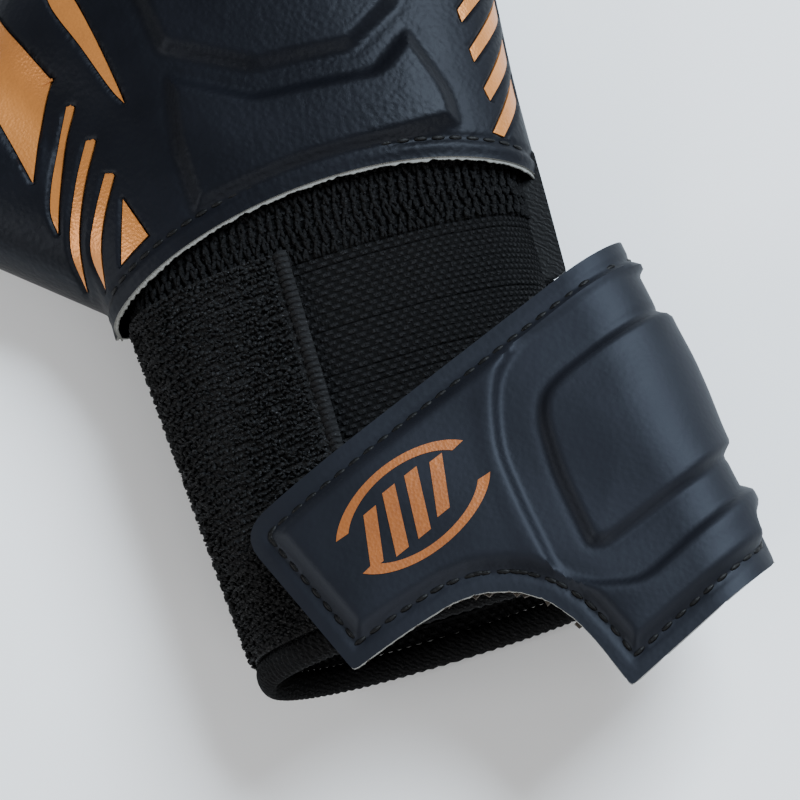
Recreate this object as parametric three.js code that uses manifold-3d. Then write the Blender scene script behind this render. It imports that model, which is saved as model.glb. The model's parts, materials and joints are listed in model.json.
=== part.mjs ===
// Right-hand goalkeeper glove, lying palm down with its wrist strap folded over the cuff.
// Millimetres: +X to the little-finger side, +Y to the fingertips, +Z up.
// The origin is on the flat underside of the palm, in the middle of its width.

import * as THREE from 'three';
import { mergeVertices } from 'three/addons/utils/BufferGeometryUtils.js';
import Module from 'manifold-3d';

const wasm = await Module();
wasm.setup();

// ---- driving dimensions ------------------------------------------------------------------------

const SEAM_GAP = 0.3; // clearance between pieces that are sewn or bonded together
const FINGER_GAP = 0.8; // clearance between neighbouring fingers at the knuckles
const FAR = 400; // reach of the blocks that trim a piece
const ROUNDNESS = 2.3; // exponent of the superellipse sections, where 2 is a plain ellipse

const LATEX = 3.5; // palm foam
const BACK_FOAM = 3.0; // backhand foam
const FOIL = 0.6; // copper underlay behind the cut windows
const LINING = 1.0;
const EMBOSS = 2.4; // height of the raised foam pads
const SEAM_Z = 15; // height of the seam between the palm and the back
const FLOOR_SINK = 1.2; // how far the round underside would pass below the flat it rests on

const HEM_Y = -46; // lower edge of the backhand
const KNUCKLE_Y = 50; // line where the fingers start
const WRIST_HALF_WIDTH = 48.5;
const WRIST_HEIGHT = 40.5;
const HAND_HEIGHT = 42;
const KNUCKLE_HEIGHT = 34;
const WRIST_SHIFT = -1.5; // the wrist's middle lies a little to the thumb side

const FINGER_HEIGHT = 31;
const FINGER_TAPER = 0.82; // width at the fingertip over the width at the knuckle
const FINGERS = [
  { name: 'index', width: 26, length: 84, splay: -4, joint: 38 },
  { name: 'middle', width: 26.4, length: 92, splay: -1, joint: 42 },
  { name: 'ring', width: 26, length: 86, splay: 2.5, joint: 39 },
  { name: 'little', width: 24, length: 70, splay: 6, joint: 32 },
];

const THUMB_OUT = 19.5; // middle of the line where the thumb starts, out from the wrist's edge
const THUMB_BASE_Y = -3.5;
const THUMB_ANGLE = 48; // degrees from the finger direction, to the thumb side
const THUMB = { width: 41, length: 72, joint: 33, height: 32, taper: 0.72 };
const THUMB_ROOT = 52; // how far the thumb's mound runs back into the hand

const CUFF_START = -38; // the cuff is sewn in under the backhand
const CUFF_END = -136;
const CUFF_WALL = 2.2;
const CUFF_TAPER = 0.88; // width at the open end over the width at the wrist
const CUFF_CLEARANCE = 0.6;
const HEM_LENGTH = 6;
const HEM_BULGE = 1.8; // the hem's roll stands out past the cuff
const HEM_WALL = 3.6;

const LOOP_START = -56; // loop-pile band round the cuff
const LOOP_THICKNESS = 2.2;
const LOOP_EDGE_X = -11.5; // its free edge on the back of the wrist
const TAPE_WIDTH = 2.4;
const TAPE_THICKNESS = 1.4;
const FLANGE_THICKNESS = 1.5;
const FLANGE_WIDTH = 4;
const FLANGE_LENGTH = 17;
const ROOT_TAPE_HEIGHT = 7;

const STRAP_SHELL = 2.4; // embossed foam of the strap
const STRAP_LINING = 0.7;
const HOOK = 0.8;
const STRAP_LENGTH = 101; // from the corner at the fold to the end of the tab
const TAB_WIDTH = 40;
const STRAP_WIDTH = 76;
const TAB_LENGTH = 26; // straight part of the tab, before its lower edge turns away
const STRAP_ANGLE = 22.4; // degrees between the strap and the crosswise direction
const STRAP_OVERHANG = 14.17; // the fold's upper corner stands out past the strap's root
const STRAP_CLEARANCE = 0.6; // between the strap's underside and the band that it lies on
const FOLD_REACH = 16; // length of the strap that the fold takes to level out
const FOLD_HEIGHT = 12.6; // from the fold line up to the level strap
const FOLD_SLANT = 15.6; // degrees between the fold line and the square across the strap
const DRAPE = 0.85; // how closely the tab follows the round of the band below it
const STRAP_ROOT_Y = -71;
const STRAP_CORNER_DROP = 3; // the fold's upper corner lies nearer to the open end than the root
const STRAP_ROOT_RISE = 1.85; // the root's underside over the middle of the cuff
const STRAP_PAD = 1.8;
const EMBLEM = 0.5;

// ---- solids ------------------------------------------------------------------------------------

function bareGeometry(geometry) {
  const bare = geometry.clone();
  bare.deleteAttribute('normal');
  bare.deleteAttribute('uv');
  const merged = mergeVertices(bare, 1e-4);
  const index = merged.index.array;
  const kept = [];
  for (let i = 0; i < index.length; i += 3) {
    const [a, b, c] = [index[i], index[i + 1], index[i + 2]];
    if (a !== b && b !== c && c !== a) kept.push(a, b, c);
  }
  merged.setIndex(kept);
  return merged;
}

function solid(geometry) {
  const bare = bareGeometry(geometry);
  const mesh = new wasm.Mesh({
    numProp: 3,
    vertProperties: new Float32Array(bare.attributes.position.array),
    triVerts: new Uint32Array(bare.index.array),
  });
  return new wasm.Manifold(mesh);
}

function geometryOf(body) {
  const mesh = body.getMesh();
  const geometry = new THREE.BufferGeometry();
  geometry.setAttribute('position', new THREE.BufferAttribute(mesh.vertProperties, 3));
  geometry.setIndex(new THREE.BufferAttribute(mesh.triVerts, 1));
  geometry.computeVertexNormals();
  return geometry;
}

function block(low, high) {
  const size = new THREE.Vector3().subVectors(high, low);
  const middle = new THREE.Vector3().addVectors(low, high).multiplyScalar(0.5);
  const geometry = new THREE.BoxGeometry(size.x, size.y, size.z);
  geometry.translate(middle.x, middle.y, middle.z);
  return solid(geometry);
}

function slice({ x = [-FAR, FAR], y = [-FAR, FAR], z = [-FAR, FAR] }) {
  return block(new THREE.Vector3(x[0], y[0], z[0]), new THREE.Vector3(x[1], y[1], z[1]));
}

// Straight-sided body over an outline in the XY plane.
function prism(outline, low, high) {
  const geometry = new THREE.ExtrudeGeometry(new THREE.Shape(outline), {
    depth: high - low,
    bevelEnabled: false,
    curveSegments: 8,
  });
  geometry.translate(0, 0, low);
  return solid(geometry);
}

// A body through superellipse sections that follow one another along Y.
function loft(sections, around = 24) {
  const last = sections.length - 1;
  const geometry = new THREE.CylinderGeometry(1, 1, 1, around, last);
  const place = geometry.attributes.position;
  for (let i = 0; i < place.count; i += 1) {
    const section = sections[Math.round((place.getY(i) + 0.5) * last)];
    const reach = Math.hypot(place.getX(i), place.getZ(i));
    const across = superellipse(place.getX(i)) * section.halfWidth * reach;
    const up = superellipse(place.getZ(i)) * section.halfHeight * reach;
    place.setXYZ(i, section.x + across, section.y, section.z + up);
  }
  return solid(geometry);
}

function superellipse(share) {
  return Math.sign(share) * Math.abs(share) ** (2 / ROUNDNESS);
}

// The same sections with their surface moved inwards (or outwards, where depth is negative).
function inset(sections, depth) {
  return sections.map((section) => ({
    ...section,
    halfWidth: section.halfWidth - depth,
    halfHeight: section.halfHeight - depth,
  }));
}

function section(y, x, halfWidth, height) {
  const halfHeight = (height + FLOOR_SINK) / 2;
  return { y, x, halfWidth, halfHeight, z: height - halfHeight };
}

// A thin layer between two depths below a closed surface.
function layer(surface, depth, thickness) {
  return surface(depth).subtract(surface(depth + thickness));
}

const MATERIALS = {
  latex: { color: 0x14161b, roughness: 0.75, metalness: 0 },
  foam: { color: 0x1b2130, roughness: 0.6, metalness: 0 },
  copper: { color: 0xb07442, roughness: 0.4, metalness: 0.7 },
  lining: { color: 0x202226, roughness: 0.95, metalness: 0 },
  knit: { color: 0x0d0d0e, roughness: 0.95, metalness: 0 },
  pile: { color: 0x0b0b0c, roughness: 1, metalness: 0 },
  hook: { color: 0x2a2018, roughness: 0.8, metalness: 0 },
};

function addPiece(group, name, body, finish) {
  const material = new THREE.MeshStandardMaterial(MATERIALS[finish]);
  const mesh = new THREE.Mesh(geometryOf(body), material);
  mesh.name = name;
  group.add(mesh);
}

// ---- hand --------------------------------------------------------------------------------------

const fingersWidth = FINGERS.reduce((sum, finger) => sum + finger.width + FINGER_GAP, -FINGER_GAP);
const knuckleHalfWidth = fingersWidth / 2 + SEAM_GAP;
const THUMB_BASE = new THREE.Vector2(WRIST_SHIFT - WRIST_HALF_WIDTH - THUMB_OUT, THUMB_BASE_Y);
const thumbDirection = new THREE.Vector2(0, 1).rotateAround(
  new THREE.Vector2(),
  THREE.MathUtils.degToRad(THUMB_ANGLE),
);

const HAND_SECTIONS = [
  section(HEM_Y - 20, WRIST_SHIFT, WRIST_HALF_WIDTH, WRIST_HEIGHT),
  section(HEM_Y, WRIST_SHIFT, WRIST_HALF_WIDTH, WRIST_HEIGHT),
  section(HEM_Y + 20, WRIST_SHIFT, WRIST_HALF_WIDTH + 1, HAND_HEIGHT),
  section(0, 0, (WRIST_HALF_WIDTH + knuckleHalfWidth) / 2, HAND_HEIGHT),
  section(KNUCKLE_Y / 2, 0, knuckleHalfWidth - 0.5, (HAND_HEIGHT + KNUCKLE_HEIGHT) / 2 + 1),
  section(KNUCKLE_Y, 0, knuckleHalfWidth, KNUCKLE_HEIGHT),
  section(KNUCKLE_Y + 20, 0, knuckleHalfWidth, KNUCKLE_HEIGHT),
];

// Sections of a finger or of the thumb from its base (y = 0) to a domed tip.
function fingerSections(width, height, length, taper, back) {
  const dome = width * taper * 0.5;
  const straight = length - dome;
  const sections = [section(-back, 0, width / 2, height)];
  const steps = 4;
  for (let i = 0; i <= steps; i += 1) {
    const share = i / steps;
    sections.push(section(straight * share, 0, (width / 2) * (1 - (1 - taper) * share), height));
  }
  const tip = sections[sections.length - 1];
  for (const degrees of [30, 55, 75, 87]) {
    const angle = THREE.MathUtils.degToRad(degrees);
    const shrink = Math.cos(angle);
    sections.push({
      ...tip,
      y: straight + dome * Math.sin(angle),
      halfWidth: tip.halfWidth * shrink,
      halfHeight: tip.halfHeight * shrink,
    });
  }
  return sections;
}

function shortened(sections, depth) {
  const end = sections[sections.length - 1].y;
  return inset(sections, depth).map((part) => ({
    ...part,
    y: part.y * (1 - depth / end),
    halfWidth: Math.max(part.halfWidth, 0.4),
    halfHeight: Math.max(part.halfHeight, 0.4),
  }));
}

function turned(body, angle, at) {
  return body.rotate([0, 0, angle]).translate([at.x, at.y, 0]);
}

// The hand's closed surface at a depth: the palm with the thumb's mound joined to it.
function handSurface(depth) {
  const palm = loft(inset(HAND_SECTIONS, depth), 28);
  const mound = fingerSections(THUMB.width, THUMB.height, THUMB.length, THUMB.taper, THUMB_ROOT);
  const thumb = turned(loft(shortened(mound, depth), 20), THUMB_ANGLE, THUMB_BASE);
  return palm.add(thumb);
}

// Everything of the hand between the hem, the knuckles and the line where the thumb starts.
function handBounds(low, high, hem = HEM_Y) {
  const thumbCut = turned(slice({ y: [0, FAR] }), THUMB_ANGLE, THUMB_BASE);
  const beside = slice({ x: [-FAR, THUMB_BASE.x * 0.72] });
  return slice({ y: [hem, KNUCKLE_Y], z: [low, high] }).subtract(thumbCut.intersect(beside));
}

// Corners of the hem that the outlines on the back of the hand are measured from.
const THUMB_CORNER = new THREE.Vector2(WRIST_SHIFT - WRIST_HALF_WIDTH, HEM_Y);
const LITTLE_CORNER = new THREE.Vector2(WRIST_SHIFT + WRIST_HALF_WIDTH, HEM_Y);
const HEM_MIDDLE = new THREE.Vector2(WRIST_SHIFT, HEM_Y);

function points(origin, list) {
  return list.map(([x, y]) => new THREE.Vector2(x, y).add(origin));
}

// A leaf-shaped outline between two edges that meet at both ends.
function leaf(tip, right, tail, left) {
  const rightEdge = new THREE.SplineCurve(points(THUMB_CORNER, [tip, right, tail])).getPoints(8);
  const leftEdge = new THREE.SplineCurve(points(THUMB_CORNER, [tail, left, tip])).getPoints(8);
  return [...rightEdge.slice(0, -1), ...leftEdge.slice(0, -1)];
}

const THUMB_WINDOWS = [
  leaf([-11, 68], [1, 48], [-7, 26], [-12, 46]),
  leaf([5, 68], [14, 55], [16.5, 35], [9, 51]),
  leaf([6, 41.5], [0.5, 31], [-5, 13], [-2.5, 30]),
  leaf([8, 34], [1, 21], [-2.8, 3], [-2, 19]),
  leaf([9.5, 25.5], [4, 16], [0.4, 3.5], [1.6, 14]),
  points(THUMB_CORNER, [[10, 15], [13.2, 6.5], [6.4, 3.4]]),
];

const BAR_SLANT = 0.8;
const BAR_COUNT = 5;
const BAR_PITCH = 11;
const BAR_WIDTH = 2.2;
const BAR_LENGTH = 6;
const BAR_SHIFT = 0.6; // each bar lies this much further out than the one below it
const BAR_INSET = 6.5; // the bars' inner ends, in from the edge of the wrist

function littleSideBar(step) {
  const x = step * BAR_SHIFT - BAR_INSET;
  const y = (step + 0.5) * BAR_PITCH;
  const rise = BAR_LENGTH * BAR_SLANT;
  return points(LITTLE_CORNER, [
    [x, y],
    [x + BAR_LENGTH, y + rise],
    [x + BAR_LENGTH, y + rise + BAR_WIDTH],
    [x, y + BAR_WIDTH],
  ]);
}

const LITTLE_WINDOWS = Array.from({ length: BAR_COUNT }, (_, step) => littleSideBar(step));

const HEXAGON = points(HEM_MIDDLE, [
  [-22.5, 60], [-21, 40], [-3.7, 30], [17.2, 27.2], [29.6, 33.5], [31.5, 54], [23.5, 66],
  [3.5, 72], [-12.5, 70],
]);
const CHEVRON = points(HEM_MIDDLE, [
  [-21.6, 35], [-3.3, 24.1], [20.3, 21.4], [30.7, 28.2], [36, 15], [34.4, 7.5], [11.5, 7.2],
  [-24, 7.2], [-25.4, 19],
]);

function addHand(group) {
  const above = [SEAM_Z + SEAM_GAP, FAR];
  const topHalf = handBounds(...above);
  const windows = [...THUMB_WINDOWS, ...LITTLE_WINDOWS].map((outline) => prism(outline, SEAM_Z, FAR));
  const shell = layer(handSurface, 0, BACK_FOAM).intersect(topHalf);
  const cut = windows.reduce((body, window) => body.subtract(window), shell);
  addPiece(group, 'backhand_shell', cut, 'foam');

  const foilDepth = BACK_FOAM + SEAM_GAP;
  const foil = layer(handSurface, foilDepth, FOIL).intersect(handBounds(...above, HEM_Y + 2));
  const thumbPatch = points(THUMB_CORNER, [[-16, 1.5], [18, 2], [20, 70], [-16, 70]]);
  const littlePatch = points(LITTLE_CORNER, [[-10, 3], [40, 3], [40, 68], [-10, 68]]);
  addPiece(group, 'copper_underlay_thumb', foil.intersect(prism(thumbPatch, SEAM_Z, FAR)), 'copper');
  addPiece(group, 'copper_underlay_little', foil.intersect(prism(littlePatch, SEAM_Z, FAR)), 'copper');

  const liningDepth = foilDepth + FOIL + SEAM_GAP;
  const linings = layer(handSurface, liningDepth, LINING);
  const liningHem = CUFF_START + CUFF_CLEARANCE;
  addPiece(group, 'back_lining', linings.intersect(handBounds(...above, liningHem)), 'lining');

  const raised = handSurface(-SEAM_GAP - EMBOSS).subtract(handSurface(-SEAM_GAP));
  addPiece(group, 'knuckle_pad', raised.intersect(prism(HEXAGON, SEAM_Z, FAR)), 'foam');
  addPiece(group, 'wrist_pad', raised.intersect(prism(CHEVRON, SEAM_Z, FAR)), 'foam');

  const palm = layer(handSurface, 0, LATEX).intersect(handBounds(0, SEAM_Z));
  addPiece(group, 'palm_latex', palm, 'latex');
  const palmLining = layer(handSurface, LATEX + SEAM_GAP, LINING);
  const palmLiningBounds = handBounds(0, SEAM_Z, liningHem);
  addPiece(group, 'palm_lining', palmLining.intersect(palmLiningBounds), 'lining');
}

// ---- fingers and thumb -------------------------------------------------------------------------

// A finger is rolled palm foam below and a strip of backhand above, each parted at the middle joint.
function addFinger(group, name, sections, joint, at, angle) {
  const shell = loft(sections, 16).subtract(loft(shortened(sections, LATEX), 16));
  const finger = new THREE.Group();
  finger.position.set(at.x, at.y, 0);
  finger.rotation.z = THREE.MathUtils.degToRad(angle);
  const lengths = { base: [0, joint - SEAM_GAP], tip: [joint, FAR] };
  for (const [part, y] of Object.entries(lengths)) {
    const palm = shell.intersect(slice({ y, z: [0, SEAM_Z] }));
    const back = shell.intersect(slice({ y, z: [SEAM_Z + SEAM_GAP, FAR] }));
    addPiece(finger, `${name}_${part}_palm`, palm, 'latex');
    addPiece(finger, `${name}_${part}_back`, back, 'foam');
  }
  group.add(finger);
}

function addFingers(group) {
  let edge = -fingersWidth / 2;
  for (const { name, width, length, splay, joint } of FINGERS) {
    const sway = (width / 2) * Math.abs(Math.sin(THREE.MathUtils.degToRad(splay)));
    const base = new THREE.Vector2(edge + width / 2, KNUCKLE_Y + SEAM_GAP + sway);
    const sections = fingerSections(width, FINGER_HEIGHT, length, FINGER_TAPER, 1);
    addFinger(group, name, sections, joint, base, -splay);
    edge += width + FINGER_GAP;
  }
  const base = THUMB_BASE.clone().addScaledVector(thumbDirection, SEAM_GAP);
  const sections = fingerSections(THUMB.width, THUMB.height, THUMB.length, THUMB.taper, 1);
  addFinger(group, 'thumb', sections, THUMB.joint, base, THUMB_ANGLE);
}

// ---- cuff --------------------------------------------------------------------------------------

const cuffDepth = Math.max(LATEX, BACK_FOAM + SEAM_GAP + FOIL) + CUFF_CLEARANCE;
const cuffHalfWidth = WRIST_HALF_WIDTH - cuffDepth;
const cuffTop = WRIST_HEIGHT - cuffDepth;
const cuffBottom = cuffDepth - FLOOR_SINK;
const cuffHalfHeight = (cuffTop - cuffBottom) / 2;
const cuffMiddle = (cuffTop + cuffBottom) / 2;

function cuffSection(y) {
  const share = THREE.MathUtils.clamp((CUFF_START - y) / (CUFF_START - CUFF_END), 0, 1.2);
  const narrowing = 1 - (1 - CUFF_TAPER) * share;
  const x = WRIST_SHIFT * (1 - share);
  return { y, x, z: cuffMiddle, halfWidth: cuffHalfWidth * narrowing, halfHeight: cuffHalfHeight };
}

function cuffSide(y) {
  const here = cuffSection(y);
  return here.x + here.halfWidth;
}

// A sleeve round the cuff between two places along Y and two distances from the cuff's surface.
function sleeve(from, to, inner, outer) {
  const ends = [from, (from + to) / 2, to].sort((a, b) => a - b);
  const bore = [ends[0] - 1, ends[1], ends[2] + 1];
  const outside = loft(inset(ends.map(cuffSection), -outer), 32);
  return outside.subtract(loft(inset(bore.map(cuffSection), -inner), 32));
}

const bandInner = SEAM_GAP;
const bandOuter = SEAM_GAP + LOOP_THICKNESS;
const bandTop = cuffTop + bandOuter;
const rootZ = cuffMiddle + STRAP_ROOT_RISE;

function addCuff(group) {
  addPiece(group, 'knit_cuff', sleeve(CUFF_START, CUFF_END, -CUFF_WALL, 0), 'knit');
  const hemStart = CUFF_END - SEAM_GAP;
  const hem = sleeve(hemStart, hemStart - HEM_LENGTH, HEM_BULGE - HEM_WALL, HEM_BULGE);
  addPiece(group, 'cuff_hem', hem, 'knit');

  const seam = cuffMiddle;
  const openPart = slice({ x: [LOOP_EDGE_X, FAR], z: [seam, FAR] });
  const band = sleeve(LOOP_START, CUFF_END, bandInner, bandOuter).subtract(openPart);
  addPiece(group, 'loop_band', band, 'pile');
  const tapeStart = LOOP_EDGE_X + SEAM_GAP;
  const tapeBounds = slice({ x: [tapeStart, tapeStart + TAPE_WIDTH], z: [seam, FAR] });
  const tape = sleeve(LOOP_START, CUFF_END, bandInner, bandInner + TAPE_THICKNESS);
  addPiece(group, 'loop_edge_tape', tape.intersect(tapeBounds), 'knit');

  const flangeStart = HEM_Y - SEAM_GAP;
  const flangeEnd = flangeStart - FLANGE_LENGTH;
  const flangeX = cuffSide(flangeStart) + bandOuter + SEAM_GAP;
  const flange = new THREE.Shape();
  flange.moveTo(cuffSide(flangeStart) + SEAM_GAP, flangeStart);
  flange.lineTo(flangeX + FLANGE_WIDTH * 0.3, flangeStart);
  flange.quadraticCurveTo(flangeX + FLANGE_WIDTH * 0.6, flangeStart, flangeX + 1, flangeStart - 4);
  flange.lineTo(cuffSide(flangeEnd) + bandOuter, flangeEnd);
  flange.lineTo(cuffSide(flangeEnd) + SEAM_GAP, flangeEnd);
  const low = seam + SEAM_GAP;
  const outline = flange.getPoints(6);
  const clear = sleeve(flangeStart + 1, flangeEnd - 1, SEAM_GAP, FLANGE_WIDTH + bandOuter);
  const fin = prism(outline, low, low + FLANGE_THICKNESS).intersect(clear);
  addPiece(group, 'side_seam_flange', fin, 'knit');

  const tapeLow = rootZ + 1;
  const rootBounds = slice({ x: [0, FAR], z: [tapeLow, tapeLow + ROOT_TAPE_HEIGHT] });
  const rootTape = sleeve(STRAP_ROOT_Y, CUFF_END, bandInner, bandInner + TAPE_THICKNESS);
  addPiece(group, 'strap_root_tape', rootTape.intersect(rootBounds), 'knit');
}

// ---- strap -------------------------------------------------------------------------------------

const strapTop = bandTop + STRAP_CLEARANCE + HOOK + STRAP_LINING + STRAP_SHELL + 2 * SEAM_GAP;
const strapThickness = STRAP_SHELL + SEAM_GAP + STRAP_LINING;
const foldZ = strapTop - FOLD_HEIGHT;
const strapTurn = THREE.MathUtils.degToRad(180 + STRAP_ANGLE);
const strapAlong = new THREE.Vector2(Math.cos(strapTurn), Math.sin(strapTurn));
const strapDown = new THREE.Vector2(-strapAlong.y, strapAlong.x);
const foldTurn = THREE.MathUtils.degToRad(FOLD_SLANT);
const foldLine = strapDown
  .clone()
  .multiplyScalar(Math.cos(foldTurn))
  .addScaledVector(strapAlong, Math.sin(foldTurn));
const foldOut = new THREE.Vector2(-foldLine.y, foldLine.x);

const strapCorner = new THREE.Vector2(
  rootX(STRAP_ROOT_Y) + STRAP_OVERHANG,
  STRAP_ROOT_Y - STRAP_CORNER_DROP,
);

// A place on the level strap: s runs from the fold to the tab, t from the upper edge to the lower.
function onStrap(s, t) {
  return strapCorner.clone().addScaledVector(strapAlong, s).addScaledVector(strapDown, t);
}

function onFold(t) {
  return onStrap(0, 0).addScaledVector(foldLine, t);
}

// The strap's surface at a depth, from the fold line up and over to beyond the tab.
function strapPath(depth) {
  const path = [];
  for (let step = 0; step <= 6; step += 1) {
    const angle = (step / 6) * (Math.PI / 2);
    const inward = depth + (FOLD_REACH - depth) * (1 - Math.cos(angle));
    path.push({ inward, z: foldZ + (FOLD_HEIGHT - depth) * Math.sin(angle) });
  }
  const level = path[path.length - 1].z;
  for (let step = 1; step <= 10; step += 1) path.push({ inward: FOLD_REACH + step * 11, z: level });
  return path;
}

// How far the tab hangs below the level strap, over the thumb side's round shoulder.
function droop(x) {
  const below = cuffSection((STRAP_ROOT_Y + CUFF_END) / 2);
  const share = THREE.MathUtils.clamp((below.x - x) / (below.halfWidth + bandOuter), 0, 0.9);
  const shoulder = (1 - share ** ROUNDNESS) ** (1 / ROUNDNESS);
  return DRAPE * (below.halfHeight + bandOuter) * (1 - shoulder);
}

// A slab that follows the strap's path between two depths, wide enough to be cut to any outline.
function strapSlab(depth, thickness) {
  const outer = strapPath(depth);
  const inner = strapPath(depth + thickness);
  const across = [-30, 0, 30, 60, 90, 120];
  const geometry = new THREE.BoxGeometry(1, 1, 1, outer.length - 1, across.length - 1, 1);
  const place = geometry.attributes.position;
  for (let i = 0; i < place.count; i += 1) {
    const step = Math.round((place.getX(i) + 0.5) * (outer.length - 1));
    const row = Math.round((place.getY(i) + 0.5) * (across.length - 1));
    const { inward, z } = (place.getZ(i) > 0 ? outer : inner)[outer.length - 1 - step];
    const at = onFold(across[across.length - 1 - row]).addScaledVector(foldOut, -inward);
    place.setXYZ(i, at.x, at.y, z - droop(at.x));
  }
  return solid(geometry);
}

// The corners of an outline, with an arc in place of each corner that has a radius.
function roundedCorners(corners) {
  return corners.flatMap(([s, t, radius], i) => {
    const corner = new THREE.Vector2(s, t);
    if (!radius) return [corner];
    const before = corners[(i + corners.length - 1) % corners.length];
    const after = corners[(i + 1) % corners.length];
    const back = new THREE.Vector2(before[0] - s, before[1] - t).setLength(radius).add(corner);
    const ahead = new THREE.Vector2(after[0] - s, after[1] - t).setLength(radius).add(corner);
    return new THREE.QuadraticBezierCurve(back, corner, ahead).getPoints(5);
  });
}

function strapOutline(corners) {
  return roundedCorners(corners).map(({ x, y }) => onStrap(x, y));
}

const notchStart = STRAP_LENGTH - TAB_LENGTH;
const notchEnd = notchStart - 15;
const wideStep = STRAP_WIDTH - TAB_WIDTH;

const STRAP_OUTLINE = [
  [-12, 0], [STRAP_LENGTH, 0, 7], [STRAP_LENGTH, TAB_WIDTH], [notchStart, TAB_WIDTH + 1, 8],
  [notchEnd + 1, TAB_WIDTH + wideStep * 0.3, 8], [notchEnd + 0.5, STRAP_WIDTH + 2],
  [STRAP_LENGTH * 0.2, STRAP_WIDTH - 2], [0, STRAP_WIDTH],
];
const LINING_INSET = 1.5;
const PAD_OUTLINE = [[14, 18.5], [33, 18.5, 7], [47.5, 47, 3], [45, 53, 3], [24, 53]];
const TAB_PAD_OUTLINE = [
  [62, 6], [96, 6, 5], [96, 35, 4], [74, 36, 4], [64, 40, 3],
];
const HOOK_OUTLINE = [[64, 5], [96, 5, 3], [96, 35, 3], [64, 35, 3]];

function insetOutline(corners, edge) {
  return corners.map(([s, t, radius]) => {
    const inwardS = s > notchEnd + 2 ? -edge : 0;
    const side = t > TAB_WIDTH / 2 ? -edge : edge;
    return [s + inwardS - (s === notchEnd + 0.5 ? edge : 0), t + side, radius];
  });
}

function addStrap(group) {
  const cutTo = (corners) => prism(strapOutline(corners), foldZ - 60, FAR);
  const shell = strapSlab(0, STRAP_SHELL).intersect(cutTo(STRAP_OUTLINE));
  addPiece(group, 'strap_shell', shell, 'foam');
  const lining = strapSlab(STRAP_SHELL + SEAM_GAP, STRAP_LINING);
  const liningOutline = insetOutline(STRAP_OUTLINE, LINING_INSET);
  addPiece(group, 'strap_lining', lining.intersect(cutTo(liningOutline)), 'lining');
  const hook = strapSlab(strapThickness + SEAM_GAP, HOOK);
  addPiece(group, 'hook_patch', hook.intersect(cutTo(HOOK_OUTLINE)), 'hook');

  const raised = strapSlab(-SEAM_GAP - STRAP_PAD, STRAP_PAD);
  addPiece(group, 'strap_pad', raised.intersect(cutTo(PAD_OUTLINE)), 'foam');
  addPiece(group, 'strap_tab_pad', raised.intersect(cutTo(TAB_PAD_OUTLINE)), 'foam');
  const printed = strapSlab(-2 * SEAM_GAP - STRAP_PAD - EMBLEM, EMBLEM);
  addPiece(group, 'strap_emblem', printed.intersect(emblem()), 'copper');

  addPiece(group, 'strap_root_band', rootBand(), 'foam');
}

// Plain mark: a hexagonal ring with a slanted bar across it.
function emblem() {
  const middle = onStrap(80, 21);
  const ring = (radius) =>
    Array.from({ length: 6 }, (_, i) => {
      const angle = (i * Math.PI) / 3 + strapTurn;
      return new THREE.Vector2(Math.cos(angle), Math.sin(angle)).multiplyScalar(radius).add(middle);
    });
  const low = foldZ;
  const outer = prism(ring(11), low, FAR);
  const bar = prism([onStrap(74, 15), onStrap(76, 13), onStrap(86, 27), onStrap(84, 29)], low, FAR);
  return outer.subtract(prism(ring(8), low - 1, FAR)).add(bar.intersect(outer));
}

// The part of the strap between its root on the cuff and the fold.
function rootBand() {
  const steps = 6;
  const rows = [0, 0.25, 0.5, 0.75, 1];
  const lastRow = rows.length - 1;
  const geometry = new THREE.BoxGeometry(1, 1, 1, steps, lastRow, 1);
  const place = geometry.attributes.position;
  const height = foldZ - SEAM_GAP - rootZ;
  for (let i = 0; i < place.count; i += 1) {
    const angle = (place.getX(i) + 0.5) * (Math.PI / 2);
    const share = rows[Math.round((0.5 - place.getY(i)) * lastRow)];
    const { root, fold } = bandEnds(share);
    const inner = place.getZ(i) > 0;
    const reach = fold.clone().sub(root);
    const full = reach.length();
    const out = (inner ? full - strapThickness : full) * Math.sin(angle);
    const floor = inner ? strapThickness : 0;
    const up = floor + (height - floor) * (1 - Math.cos(angle));
    const at = root.addScaledVector(reach, out / full);
    place.setXYZ(i, at.x, at.y, rootZ + up);
  }
  return solid(geometry);
}

function bandEnds(share) {
  const rootEnd = CUFF_END - 2;
  const y = STRAP_ROOT_Y + (rootEnd - STRAP_ROOT_Y) * share;
  const root = new THREE.Vector2(rootX(y), y);
  return { root, fold: onFold(2 + (STRAP_WIDTH - 3) * share) };
}

function rootX(y) {
  return cuffSide(STRAP_ROOT_Y) + bandOuter + SEAM_GAP + 0.02 * (y - STRAP_ROOT_Y);
}

// ---- the whole glove ---------------------------------------------------------------------------

const glove = new THREE.Group();
addHand(glove);
addFingers(glove);
addCuff(glove);
addStrap(glove);

export default glove;
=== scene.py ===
"""Looks of a right-hand goalkeeper glove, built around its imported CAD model."""

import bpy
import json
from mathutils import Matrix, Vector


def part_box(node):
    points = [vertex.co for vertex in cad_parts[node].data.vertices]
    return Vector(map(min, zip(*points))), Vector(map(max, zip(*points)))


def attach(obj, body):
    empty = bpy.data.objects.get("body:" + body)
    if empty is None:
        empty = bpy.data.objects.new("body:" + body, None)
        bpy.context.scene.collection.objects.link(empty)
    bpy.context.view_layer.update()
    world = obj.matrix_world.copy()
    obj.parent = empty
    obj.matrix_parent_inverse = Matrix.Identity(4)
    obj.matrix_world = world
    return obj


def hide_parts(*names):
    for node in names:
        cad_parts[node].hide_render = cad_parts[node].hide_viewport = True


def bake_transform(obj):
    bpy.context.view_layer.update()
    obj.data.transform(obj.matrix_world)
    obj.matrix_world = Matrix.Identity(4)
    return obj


bl_info = {
    "name": "Goalkeeper Glove",
    "version": (1, 0, 0),
    "blender": (4, 5, 0),
    "location": "3D View > Sidebar > Glove",
    "description": "Builds a goalkeeper glove with an embossed back, knitted cuff and folded strap",
    "category": "Object",
}

import json
import math

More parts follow.
